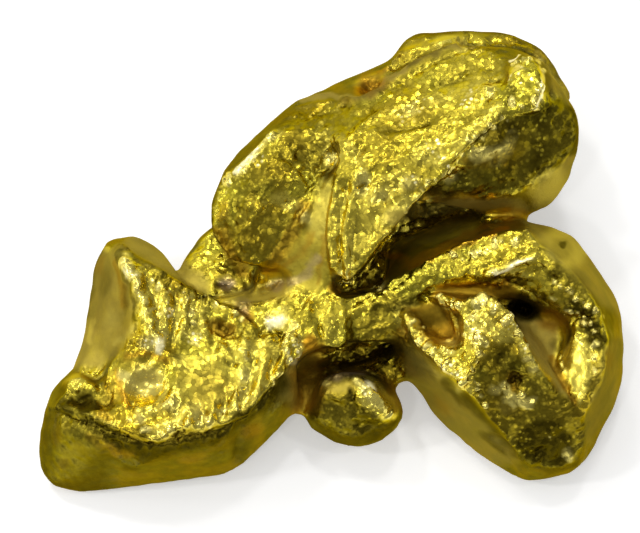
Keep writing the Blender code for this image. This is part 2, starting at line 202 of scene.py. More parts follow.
class Lattice:
    """Repeatable random numbers on the corners of a unit grid, with the noises built from them."""

    def __init__(self, seed: int) -> None:
        """Draws the tables.

        Args:
            seed: Seed of the random generator.
        """
        rng = np.random.default_rng(seed)
        self.order = np.concatenate([rng.permutation(TABLE)] * 2)
        slopes = rng.normal(size=(TABLE, 3))
        self.slopes = slopes / np.linalg.norm(slopes, axis=1, keepdims=True)
        self.jitter = rng.random((TABLE, 3))
        self.tilts = rng.uniform(-1.0, 1.0, (TABLE, 3))

    def index(self, corners: Array) -> Array:
        """Table row of each grid corner, which is a row of three whole numbers."""
        x, y, z = (corners & (TABLE - 1)).T
        return self.order[(self.order[(self.order[x] + y) & (TABLE - 1)] + z) & (TABLE - 1)]

    def waves(self, points: Array) -> Array:
        """Gradient noise: at each corner of the cell a slope times the way to it, blended by 6t^5 - 15t^4 + 10t^3.

        Args:
            points: N by 3 positions in cells.

        Returns:
            Values of about -1 to 1.
        """
        base = np.floor(points).astype(np.int64)
        inside = points - base
        fade = inside**3 * (inside * (inside * 6.0 - 15.0) + 10.0)
        total = np.zeros(len(points))
        for step in np.ndindex(2, 2, 2):
            corner = np.array(step)
            share = np.prod(np.where(corner == 1, fade, 1.0 - fade), axis=1)
            slope = self.slopes[self.index(base + corner)]
            total += share * np.einsum("ij,ij->i", slope, inside - corner)
        return total * WAVE_GAIN

    def crumple(self, points: Array, octaves: int) -> Array:
        """Ridged noise: one minus twice the size of the waves, summed over scales that halve in size and strength.

        Args:
            points: N by 3 positions in cells of the coarsest scale.
            octaves: Number of scales.

        Returns:
            Values of about -1 to 1, with sharp crests.
        """
        total, norm = np.zeros(len(points)), 0.0
        for octave in range(octaves):
            weight = 0.5**octave
            total += weight * (1.0 - 2.0 * np.abs(self.waves(points * 2.0**octave + OCTAVE_SHIFT * octave)))
            norm += weight
        return total / norm - CRUMPLE_MEAN

    def cells(self, points: Array) -> tuple[Array, Array, Array, Array]:
        """Cellular noise: the nearest of the random seeds, one to each grid cell.

        Args:
            points: N by 3 positions in cells.

        Returns:
            Distance to the nearest seed, distance to the second, way from the nearest, and its table row.
        """
        base = np.floor(points).astype(np.int64)
        near = np.full(len(points), np.inf)
        second = np.full(len(points), np.inf)
        way = np.zeros_like(points)
        row = np.zeros(len(points), dtype=np.int64)
        for step in np.ndindex(3, 3, 3):
            cell = base + np.array(step) - 1
            rows = self.index(cell)
            to_seed = points - cell - self.jitter[rows]
            far = np.linalg.norm(to_seed, axis=1)
            closer = far < near
            second = np.where(closer, near, np.minimum(second, far))
            near = np.where(closer, far, near)
            way[closer] = to_seed[closer]
            row[closer] = rows[closer]
        return near, second, way, row


@dataclass(frozen=True)
class Grain:
    """A pattern's scale and lie: cells of a size in millimetres, drawn out along a direction in the show face."""

    size: float
    seed: int
    stretch: float = 1.0
    lie: float = 0.0

    def cells_of(self, points: Array) -> Array:
        """Positions in cells of this grain.

        Args:
            points: N by 3 positions in millimetres.

        Returns:
            N by 3 positions, in cells.
        """
        right, up, out = FACE.axes
        angle = math.radians(self.lie)
        along = right * math.cos(angle) + up * math.sin(angle)
        across = up * math.cos(angle) - right * math.sin(angle)
        turned = np.stack([points @ along / self.stretch, points @ across, points @ out], axis=1)
        return turned / self.size + CELL_SHIFT

    def crumpled(self, points: Array, octaves: int = 2) -> Array:
        """Ridged noise at this scale."""
        return Lattice(self.seed).crumple(self.cells_of(points), octaves)

    def waved(self, points: Array) -> Array:
        """Smooth noise at this scale."""
        return Lattice(self.seed).waves(self.cells_of(points))

    def beaded(self, points: Array) -> Array:
        """Round beads: one minus the squared distance to the bead's middle, from 1 at it to about 0 between."""
        near, _, _, _ = Lattice(self.seed).cells(self.cells_of(points))
        return 1.0 - np.minimum(near / BEAD_REACH, 1.0) ** 2

    def faceted(self, points: Array) -> Array:
        """Flat crystal facets: each cell is a plane, tilted at random about its middle.

        Args:
            points: N by 3 positions in millimetres.

        Returns:
            Heights of about -1 to 1, and 0 along the seams.
        """
        lattice = Lattice(self.seed)
        near, second, way, row = lattice.cells(self.cells_of(points))
        return np.einsum("ij,ij->i", lattice.tilts[row], way) * smoothstep(0.0, FACET_SEAM, second - near)


# ------------------------------------------------------------------------------------------- marks on the face


def path_distance(at: Spots, path: Path) -> tuple[Array, Array]:
    """Distance to a polyline: the least of the distances to its straight stretches.

    Args:
        at: Places on the show face.
        path: Corners of the line.

    Returns:
        The distance, and the side, +1 to the left of the way along the line and -1 to the right.
    """
    best = np.full(len(at.u), np.inf)
    side = np.ones(len(at.u))
    for (ax, ay), (bx, by) in zip(path, path[1:]):
        x, y, wx, wy = at.u - ax, at.v - ay, bx - ax, by - ay
        t = np.clip((x * wx + y * wy) / (wx * wx + wy * wy), 0.0, 1.0)
        far = np.hypot(x - t * wx, y - t * wy)
        turn = np.where(wx * y - wy * x >= 0.0, 1.0, -1.0)
        closer = far < best
        best = np.where(closer, far, best)
        side = np.where(closer, turn, side)
    return best, side


def inside_path(at: Spots, path: Path, soft: float) -> Array:
    """How far a point is inside a closed outline: even-odd crossings give the sign, the edge distance the amount.

    Args:
        at: Places on the show face.
        path: Corners of the outline.
        soft: Millimetres over which the edge fades, half to each side.

    Returns:
        1 inside, 0 outside, and a smooth change at the edge.
    """
    ring = (*path, path[0])
    far, _ = path_distance(at, ring)
    odd = np.zeros(len(at.u), dtype=bool)
    for (ax, ay), (bx, by) in zip(ring, ring[1:]):
        if ay != by:
            odd ^= ((ay > at.v) != (by > at.v)) & (at.u < (bx - ax) * (at.v - ay) / (by - ay) + ax)
    return smoothstep(-soft / 2, soft / 2, np.where(odd, far, -far))


def oval_distance(at: Spots, place: Pair, radii: Pair, turn: float) -> Array:
    """Distance from an oval's middle, measured in its own radius that way.

    Args:
        at: Places on the show face.
        place: The middle.
        radii: Half sizes.
        turn: Degrees by which the first half size is turned from the first coordinate.

    Returns:
        0 in the middle, 1 on the edge, and more outside.
    """
    angle = math.radians(turn)
    x, y = at.u - place[0], at.v - place[1]
    along = (x * math.cos(angle) + y * math.sin(angle)) / radii[0]
    across = (y * math.cos(angle) - x * math.sin(angle)) / radii[1]
    return np.hypot(along, across)


class Mark(ABC):
    """Anything that raises or sinks the show face."""

    @abstractmethod
    def relief(self, at: Spots) -> Array:
        """Height added at each point, in millimetres outwards."""


class Area(ABC):
    """Any part of the show face that is treated in one way."""

    @abstractmethod
    def share(self, at: Spots) -> Array:
        """How much of the area each point is in: 0 outside it, and its strength well inside."""


@dataclass(frozen=True)
class Crest(Mark):
    """A raised line, or with a negative height a groove: height times a power of one minus distance over width."""

    path: Path
    width: float
    height: float
    power: float = 1.6

    def relief(self, at: Spots) -> Array:
        """Height added at each point, in millimetres outwards."""
        far, _ = path_distance(at, self.path)
        return self.height * np.maximum(1.0 - far / self.width, 0.0) ** self.power


@dataclass(frozen=True)
class Ledge(Mark):
    """A step along a line: the left side stands proud near the line and fades away over its reach."""

    path: Path
    height: float
    reach: float
    edge: float = 0.12

    def relief(self, at: Spots) -> Array:
        """Height added at each point, in millimetres outwards."""
        far, side = path_distance(at, self.path)
        return self.height * smoothstep(self.reach, 0.0, far) * (smoothstep(-self.edge, self.edge, far * side) - 0.5)


@dataclass(frozen=True)
class Dish(Mark):
    """A round or oval hollow: depth times (1 - r^2)^2 inside, with a raised rim where r is 1."""

    place: Pair
    radii: Pair
    depth: float
    turn: float = 0.0
    rim: float = 0.0
    rim_width: float = 0.22

    def relief(self, at: Spots) -> Array:
        """Height added at each point, in millimetres outwards."""
        r = oval_distance(at, self.place, self.radii, self.turn)
        return self.rim * np.exp(-(((r - 1.0) / self.rim_width) ** 2)) - self.depth * np.maximum(1.0 - r**2, 0.0) ** 2


@dataclass(frozen=True)
class BeadRow(Mark, Area):
    """A broken chain of beads along a line, each of height times (1 - r^2)^2, their places and sizes well varied.

    The scatter is in radii. The sizes lie between two shares of the radius.
    """

    path: Path
    spacing: float
    radius: float
    height: float
    seed: int
    scatter: float = 0.75
    pitch: float = 0.8
    sizes: Pair = (0.45, 1.25)
    painted_glint_top: Pair = (0.05, 0.45)

    def domes(self, at: Spots) -> Array:
        """The beads' shape.

        Args:
            at: Places on the show face.

        Returns:
            0 off the beads, and up to about 1 on a bead's top.
        """
        rng = np.random.default_rng(self.seed)
        corners = np.array(self.path)
        lengths = np.hypot(*np.diff(corners, axis=0).T)
        along = np.concatenate([[0.0], np.cumsum(lengths)])
        stops = np.arange(0.0, along[-1], self.pitch * self.spacing)
        stops = stops + rng.uniform(-0.5, 0.5, len(stops)) * self.spacing
        x = np.interp(stops, along, corners[:, 0]) + rng.normal(0.0, self.scatter * self.radius, len(stops))
        y = np.interp(stops, along, corners[:, 1]) + rng.normal(0.0, self.scatter * self.radius, len(stops))
        size = rng.uniform(*self.sizes, len(stops))
        r2 = ((at.u[:, None] - x) ** 2 + (at.v[:, None] - y) ** 2) / (self.radius * size) ** 2
        return (size * np.maximum(1.0 - r2, 0.0) ** 2).max(axis=1)

    def relief(self, at: Spots) -> Array:
        """Height added at each point, in millimetres outwards."""
        return self.height * self.domes(at)

    def share(self, at: Spots) -> Array:
        """How much of a bead's top each point is in, which gets a painted glint."""
        return smoothstep(*self.painted_glint_top, self.domes(at))


@dataclass(frozen=True)
class Patch(Area):
    """A stretch of the show face inside an outline, with an edge that fades over a width."""

    outline: Path
    strength: float = 1.0
    soft: float = 0.4

    def share(self, at: Spots) -> Array:
        """Strength at each point: full inside the outline, and nothing outside."""
        return self.strength * inside_path(at, self.outline, self.soft)


@dataclass(frozen=True)
class Blot(Area):
    """An oval on the show face: full up to the first share of its radius, and gone at the second."""

    place: Pair
    radii: Pair
    strength: float = 1.0
    turn: float = 0.0
    full: float = 0.45
    gone: float = 1.15

    def share(self, at: Spots) -> Array:
        """Strength at each point."""
        r = oval_distance(at, self.place, self.radii, self.turn)
        return self.strength * smoothstep(self.gone, self.full, r)


@dataclass(frozen=True)
class Stroke(Area):
    """A band along a line on the show face, with its half width, full over the core share of it."""

    path: Path
    width: float
    strength: float = 1.0
    core: float = 0.35

    def share(self, at: Spots) -> Array:
        """Strength at each point."""
        far, _ = path_distance(at, self.path)
        return self.strength * smoothstep(self.width, self.core * self.width, far)


class Stain(Enum):
    """How the colour departs from clean gold: tarnish and tints, and painted shade, light, glints and flashes."""

    SHADE = "shade"
    PAINTED_LIGHT = "pale"
    UMBER = "umber"
    AMBER = "amber"
    TAN = "tan"
    LILAC = "lilac"
    PAINTED_GLINT = "glint"
    FLASH = "flash"


# Places and lengths are millimetres on the show face, with the specimen's middle near (0, 0).

# The left crystal: bowl, peak, fluted top and the ledge of its near edge.
WEST_MARKS: tuple[Mark, ...] = (
    Dish((-7.65, -5.0), (1.3, 1.2), 0.09, 0.0, 0.09),
    Dish((-9.1, -5.6), (0.7, 1.0), 0.25, -25),
    Crest(((-10.6, -5.1), (-10.2, -4.95), (-9.8, -5.2)), 0.4, 0.25),
    Crest(((-9.4, -6.3), (-8.9, -6.1), (-8.6, -6.3)), 0.4, 0.16),
    Dish((-8.7, -2.6), (0.7, 1.5), 0.2, -8),
    Dish((-7.0, -3.5), (0.42, 0.5), -0.12, 12),
    Crest(((-8.6, 0.1), (-8.25, -0.4), (-7.95, -0.9), (-7.75, -1.4), (-7.6, -1.9), (-7.35, -2.7), (-7.05, -3.4)), 0.6,
          0.34),
    BeadRow(((-8.5, 0.0), (-8.2, -0.4), (-7.9, -0.9), (-7.7, -1.4), (-7.5, -1.9), (-7.2, -2.8), (-6.9, -3.4)), 0.28,
            0.15, 0.1, 51),
    BeadRow(((-7.2, -0.7), (-6.8, -1.6), (-6.9, -2.5)), 0.32, 0.15, 0.096, 52),
    BeadRow(((-6.2, -1.3), (-5.7, -1.9), (-5.6, -2.8)), 0.32, 0.15, 0.096, 53),
    BeadRow(((-1.3, -2.4), (-1.6, -3.2), (-2.0, -4.2), (-2.5, -5.2)), 0.3, 0.15, 0.11, 54),
    BeadRow(((-3.3, -3.4), (-3.45, -4.4), (-3.7, -5.6), (-4.0, -6.2)), 0.36, 0.15, 0.08, 55),
    BeadRow(((-7.9, -6.5), (-7.2, -7.2), (-6.3, -6.7), (-5.4, -6.7), (-4.5, -6.4)), 0.33, 0.17, 0.1, 56),
    Crest(((-8.6, 0.35), (-7.3, -0.4), (-6.0, -1.25), (-5.0, -1.75)), 0.45, 0.3),
    Crest(((-6.9, -1.1), (-6.7, -1.8), (-6.8, -2.7)), 0.4, 0.22),
    Crest(((-6.0, -1.6), (-5.9, -2.3), (-6.1, -3.1)), 0.35, 0.18),
    Crest(((-7.4, -1.2), (-7.1, -2.1), (-7.0, -2.9)), 0.3, -0.06),
    Crest(((-6.4, -1.5), (-6.35, -2.3), (-6.5, -3.2)), 0.3, -0.06),
    Crest(((-6.6, -3.9), (-6.1, -4.6), (-6.2, -5.4), (-6.7, -6.1)), 0.35, 0.29),
    Crest(((-5.9, -4.1), (-6.0, -5.2), (-6.35, -6.7)), 0.3, -0.2),
    Crest(((-5.4, -4.0), (-5.5, -5.2), (-5.8, -6.8)), 0.32, 0.29),
    Crest(((-5.0, -4.2), (-5.0, -5.3), (-5.3, -6.8)), 0.26, -0.15),
    Crest(((-4.4, -3.6), (-4.6, -5.0), (-4.9, -6.6)), 0.34, 0.32),
    Crest(((-3.95, -3.8), (-4.15, -5.0), (-4.4, -6.4)), 0.26, -0.18),
    Crest(((-3.5, -3.4), (-3.7, -4.7), (-4.0, -6.1)), 0.34, 0.29),
    Crest(((-3.0, -3.5), (-3.2, -4.6), (-3.4, -5.8)), 0.26, -0.16),
    Crest(((-2.5, -3.1), (-2.7, -4.1), (-3.0, -5.3)), 0.34, 0.29),
    Crest(((-2.0, -3.2), (-2.2, -4.0), (-2.5, -4.8)), 0.24, -0.15),
    Crest(((-1.5, -2.7), (-1.7, -3.5), (-2.1, -4.4)), 0.3, 0.26),
    Crest(((-8.9, -7.9), (-8.2, -8.4), (-7.4, -8.1)), 0.25, 0.12),
    Crest(((-3.6, -6.9), (-3.75, -7.5), (-3.8, -8.1)), 0.3, -0.18),
    Ledge(((-10.9, -6.2), (-9.8, -6.5), (-9.2, -6.8), (-8.4, -7.05), (-7.6, -7.35), (-7.0, -7.5), (-6.3, -7.0),
           (-5.0, -6.9), (-4.3, -6.7), (-3.3, -6.3), (-2.7, -5.5), (-2.0, -4.7), (-1.4, -4.0)), 0.42, 0.9),
)

# The knot in the middle.
CENTRE_MARKS: tuple[Mark, ...] = (
    Crest(((-4.9, -1.7), (-4.2, -2.0), (-3.5, -2.4), (-3.1, -2.9)), 0.3, 0.2),
    BeadRow(((-5.0, -1.7), (-4.2, -2.0), (-3.4, -2.5)), 0.35, 0.14, 0.08, 58),
    Crest(((-2.65, -2.5), (-1.8, -2.5)), 0.42, 0.16),
    Crest(((-1.0, -1.4), (-1.3, -2.3), (-1.5, -3.2)), 0.3, -0.15),
    Crest(((-0.3, -1.7), (-0.5, -2.4), (-0.3, -3.1)), 0.28, -0.14),
    Crest(((1.0, -1.6), (0.9, -2.3), (1.0, -3.0)), 0.28, -0.12),
    Crest(((-1.5, -3.4), (-1.1, -2.5), (-0.8, -1.6)), 0.2, 0.23),
    Crest(((-2.0, -3.7), (-1.6, -2.9), (-1.3, -2.2)), 0.2, 0.2),
    Crest(((-2.9, -3.0), (-2.3, -2.95), (-1.8, -3.0)), 0.25, -0.2),
    Dish((-4.3, -0.9), (0.6, 0.35), 0.15),
    Dish((-3.3, -1.0), (0.35, 0.6), 0.15, 10),
)

# The upper crystal: left lobe, streaked tongue, knob and back rim.
UPPER_MARKS: tuple[Mark, ...] = (
    Crest(((-3.9, 3.6), (-3.2, 4.3), (-2.3, 5.2)), 0.2, 0.2),
    Crest(((-2.4, 4.2), (-1.6, 3.5), (-1.0, 3.0)), 0.5, 0.18),
    Crest(((-4.4, 1.6), (-4.2, 2.4), (-3.9, 3.0)), 0.3, 0.1),
    Crest(((0.5, 6.6), (1.3, 6.55), (2.0, 6.85), (2.3, 7.3), (2.8, 7.65), (3.6, 8.1), (4.5, 8.5), (5.2, 8.75)), 0.22,
          0.24),
    BeadRow(((-4.3, 2.6), (-4.2, 3.2), (-3.8, 3.6)), 0.26, 0.15, 0.1, 61),
    BeadRow(((3.0, 2.0), (3.7, 2.9), (4.9, 3.6), (5.4, 4.4), (6.0, 5.1), (6.8, 5.7), (7.6, 5.95)), 0.3, 0.12, 0.06,
            63),
    BeadRow(((7.3, 6.4), (8.2, 6.4), (8.65, 7.1), (8.45, 7.9), (7.8, 8.3), (7.3, 8.0)), 0.28, 0.15, 0.12, 64),
    Crest(((2.6, 8.0), (3.5, 8.45), (4.5, 8.8)), 0.25, -0.2),
    Crest(((2.9, 8.5), (4.2, 8.75), (5.2, 9.1)), 0.4, 0.14),
    Crest(((2.5, 5.4), (3.3, 5.55), (4.0, 5.75)), 0.35, -0.2),
    Crest(((3.2, 6.25), (3.9, 6.5), (4.4, 6.7)), 0.35, 0.16),
    Crest(((5.4, 6.2), (5.9, 6.6), (6.4, 7.0)), 0.35, 0.18),
    Crest(((0.9, 5.9), (1.8, 5.2), (2.6, 4.6)), 0.5, 0.12),
    Dish((1.1, 4.6), (0.7, 0.5), 0.16, 40),
    Dish((4.6, 7.2), (1.3, 0.5), 0.16, 15),
    Dish((5.6, 7.8), (0.8, 0.4), 0.12, 20),
    Dish((6.9, 7.6), (0.5, 0.7), 0.14),
    Dish((8.0, 7.35), (0.8, 1.1), -0.25, 10),
    Crest(((7.6, 6.6), (8.3, 6.5), (8.6, 7.1), (8.4, 7.9), (7.8, 8.3)), 0.3, 0.2),
    Crest(((0.35, 3.3), (0.15, 2.2), (0.05, 1.0), (0.2, -0.2)), 0.28, 0.26),
    Crest(((0.7, 3.2), (0.45, 2.0), (0.35, 0.8), (0.45, -0.4)), 0.22, -0.14),
    Crest(((1.1, 3.4), (0.8, 2.1), (0.65, 0.9), (0.7, -0.6)), 0.25, 0.26),
    Crest(((1.5, 3.2), (1.2, 2.2), (0.95, 1.1), (0.9, 0.1)), 0.22, -0.18),
    Crest(((2.0, 3.3), (1.6, 2.2), (1.25, 1.1)), 0.25, 0.23),
    Crest(((2.5, 3.1), (2.1, 2.2), (1.7, 1.3)), 0.22, -0.23),
    Ledge(((1.3, -0.3), (2.4, 1.1), (3.4, 2.3), (4.7, 3.4), (5.3, 4.4), (6.0, 5.0), (6.6, 5.6), (7.1, 6.05),
           (8.4, 6.1), (8.7, 6.2)), 0.22, 0.8),
    Dish((6.7, 4.75), (1.15, 0.7), -0.3, 10),
    BeadRow(((5.8, 4.6), (6.3, 4.25), (6.9, 4.25), (7.4, 4.6)), 0.2, 0.095, 0.072, 67, 0.4),
    Dish((5.4, 3.4), (0.8, 0.5), 0.25, 35),
    Crest(((8.4, 5.8), (8.6, 5.0), (8.3, 4.2)), 0.4, -0.18),
    Crest(((9.2, 5.9), (9.3, 5.1), (9.1, 4.5)), 0.35, -0.14),
    Crest(((-0.55, 2.9), (-0.85, 2.2), (-1.1, 1.5)), 0.22, 0.12),
)

# The right crystal: arm, hood, wedge and recess.
EAST_MARKS: tuple[Mark, ...] = (
    Crest(((1.2, -1.35), (2.5, -0.9), (4.2, -0.05), (5.4, 0.6), (7.2, 1.1), (8.2, 1.25)), 0.35, 0.12),
    Crest(((6.5, -0.5), (6.95, -0.35), (7.7, -0.1), (8.4, 0.2)), 0.2, 0.2),
    Crest(((4.3, -1.4), (5.5, -1.9), (6.4, -1.7), (7.2, -2.3), (7.7, -3.1), (8.1, -3.85), (8.45, -4.5), (9.1, -5.3)),
          0.35, 0.32),
    Crest(((3.1, -2.2), (3.7, -3.2), (4.6, -4.1), (5.5, -5.0)), 0.45, 0.3),
    Crest(((6.2, -3.1), (5.9, -4.0), (5.6, -4.9)), 0.35, 0.12),
    BeadRow(((4.5, -1.5), (5.5, -1.85), (6.4, -1.7), (7.2, -2.2), (7.6, -2.9), (8.0, -3.7), (8.4, -4.5)), 0.27, 0.17,
            0.11, 71),
    BeadRow(((5.9, -2.0), (5.6, -2.9), (6.0, -3.3)), 0.3, 0.15, 0.1, 72),
    BeadRow(((3.4, -2.5), (4.2, -3.6), (5.0, -4.5), (5.7, -5.2)), 0.3, 0.15, 0.11, 73),
    BeadRow(((6.3, -3.2), (6.0, -4.1), (5.9, -5.2), (6.4, -5.9)), 0.3, 0.14, 0.11, 74),
    BeadRow(((7.2, -5.8), (7.8, -5.6), (8.3, -5.9)), 0.28, 0.15, 0.13, 75),
    BeadRow(((8.0, -6.6), (8.7, -7.0), (9.4, -6.7), (9.2, -7.6)), 0.4, 0.09, 0.05, 76, 2.5),
    BeadRow(((8.0, -1.2), (9.0, -1.6), (9.9, -2.1), (10.8, -2.6)), 0.3, 0.14, 0.1, 77),
    BeadRow(((8.7, -0.6), (9.6, -1.1), (10.5, -1.8), (11.2, -2.3)), 0.3, 0.11, 0.06, 78),
    BeadRow(((10.9, -2.8), (10.8, -3.7), (10.8, -4.6)), 0.28, 0.12, 0.07, 79),
    BeadRow(((5.0, 0.0), (6.0, 0.3), (7.0, 0.7), (7.9, 0.9)), 0.32, 0.15, 0.096, 80),
    Crest(((5.5, -5.1), (6.5, -6.15), (7.4, -7.3), (7.9, -8.1)), 0.3, 0.14),
    Dish((7.0, -4.0), (0.5, 0.6), 0.25),
    Crest(((7.3, -5.6), (7.7, -5.5), (8.2, -5.8)), 0.35, 0.14),
    Dish((7.05, -7.5), (0.85, 0.3), 0.12, -32, 0.04),
    Dish((8.7, -7.9), (0.4, 0.45), 0.2),
    Crest(((9.1, -4.1), (9.5, -4.9), (10.1, -5.9)), 0.2, -0.14),
    Crest(((10.35, -3.1), (10.55, -4.4), (10.5, -5.8)), 0.5, 0.06),
    Crest(((10.9, -2.5), (11.2, -3.6), (10.9, -4.9)), 0.35, 0.12),
    Crest(((9.0, -2.2), (9.9, -2.35), (10.7, -2.3)), 0.35, -0.16),
    Crest(((7.3, -0.9), (8.2, -1.3), (9.2, -2.0)), 0.35, -0.14),
    Crest(((8.6, 0.0), (9.6, -0.9), (10.6, -1.9)), 0.4, 0.1),
    Dish((9.3, -0.7), (0.5, 0.3), 0.15, -40),
)

# The nub that hangs below the middle.
NUB_MARKS: tuple[Mark, ...] = (
    Crest(((1.1, -4.95), (1.8, -5.5), (2.5, -6.2)), 0.4, 0.2),
    Crest(((0.85, -5.3), (1.0, -6.1), (1.1, -7.0)), 0.2, -0.14),
    Dish((0.2, -6.0), (0.7, 0.6), 0.15),
    Dish((1.6, -6.8), (0.7, 0.4), 0.12),
)

MARKS = (*WEST_MARKS, *CENTRE_MARKS, *UPPER_MARKS, *EAST_MARKS, *NUB_MARKS)

# Smooth skin, without the hammered grain.
SMOOTH_AREAS: tuple[Area, ...] = (
    Patch(((-1.1, 1.4), (-0.5, 3.0), (0.15, 3.5), (0.05, 1.0), (-0.05, 0.2), (0.2, -0.9), (-0.5, -1.3), (-1.6, -1.0),
           (-2.6, -0.7), (-1.7, 0.4))),
    Patch(((-9.6, 0.7), (-8.55, 0.2), (-8.1, -1.0), (-7.95, -2.0), (-8.1, -2.9), (-8.6, -3.8), (-9.3, -4.3),
           (-10.3, -4.4), (-10.0, -2.0))),
    Patch(((-8.6, 0.55), (-7.3, -0.25), (-5.9, -1.1), (-4.9, -1.6), (-4.9, -1.0), (-6.4, 0.3), (-8.0, 1.0))),
    Blot((-7.7, -5.0), (1.2, 1.1)),
    Patch(((7.45, -2.4), (8.6, -1.9), (9.7, -2.4), (9.7, -3.2), (9.35, -4.1), (9.9, -5.7), (9.3, -5.3), (8.4, -4.1),
           (7.8, -3.2)), 1.0, 0.3),
    Patch(((10.1, -3.2), (9.4, -3.9), (9.6, -4.6), (10.2, -5.8), (10.7, -4.7), (10.4, -3.5)), 0.9, 0.3),
    Patch(((3.2, -1.9), (4.5, -1.7), (5.35, -3.2), (4.2, -3.2))),
    Patch(((6.0, 1.9), (8.3, 3.0), (9.4, 3.7), (10.4, 4.6), (10.2, 2.6), (8.6, 1.6))),
    Patch(((7.8, 1.6), (9.0, 0.25), (10.1, -0.9), (11.1, -1.7), (11.7, -1.9), (11.6, 0.0), (9.6, 2.0))),
    Patch(((-0.9, -3.3), (-0.2, -3.4), (-0.4, -6.0), (-2.0, -6.6), (-2.2, -5.4)), 0.8),
    Stroke(((4.6, -1.2), (7.5, -1.3)), 0.35),
    Stroke(((6.9, -0.35), (8.4, 0.2)), 0.15),
    Stroke(((-1.2, 6.55), (0.0, 6.7), (1.3, 6.55), (2.0, 6.85), (2.3, 7.3), (2.8, 7.65), (3.6, 8.1), (4.5, 8.5),
            (5.4, 8.8)), 0.22),
    Blot((0.5, -5.1), (1.0, 0.5), 0.8),
    Blot((1.5, 7.25), (1.0, 0.65), 1.0, 20),
    Blot((-4.35, -0.95), (0.7, 0.5)),
    Patch(((-4.4, -1.9), (-1.8, -1.5), (-1.2, -0.9), (-2.6, -0.9), (-4.2, -1.2)), 0.8),
    Patch(((-12.0, -9.5), (-9.2, -9.6), (-8.9, -7.9), (-9.9, -7.1), (-10.9, -6.7), (-12.0, -6.3)), 0.75),
    Patch(((-6.3, -3.9), (-3.0, -3.0), (-1.8, -3.6), (-2.6, -5.2), (-4.2, -6.3), (-6.4, -6.7)), 0.45, 0.6),
    Patch(((0.0, 2.6), (0.0, -0.6), (0.8, -0.9), (1.6, 0.6), (2.4, 2.2)), 0.35, 0.6),
    Blot((-3.5, -0.9), (0.6, 0.5), 0.7),
    Patch(((-2.75, -2.15), (-1.75, -2.15), (-1.65, -2.75), (-2.6, -2.85)), 0.9, 0.15),
    Blot((-7.0, -3.5), (0.35, 0.5), 0.8, 12),
    Blot((-10.1, -5.85), (0.8, 0.6), 0.9),
    Stroke(((6.6, -0.45), (7.4, -0.2), (8.3, 0.18)), 0.2, 0.7),
    Stroke(((-2.2, 6.4), (-0.8, 7.1), (0.4, 7.2)), 0.5, 0.8),
    Stroke(((-3.95, 3.5), (-3.4, 4.1), (-2.6, 4.9)), 0.22, 0.9),
    Blot((6.2, 9.5), (0.9, 0.5)),
    Blot((9.9, 6.6), (0.6, 0.7)),
)
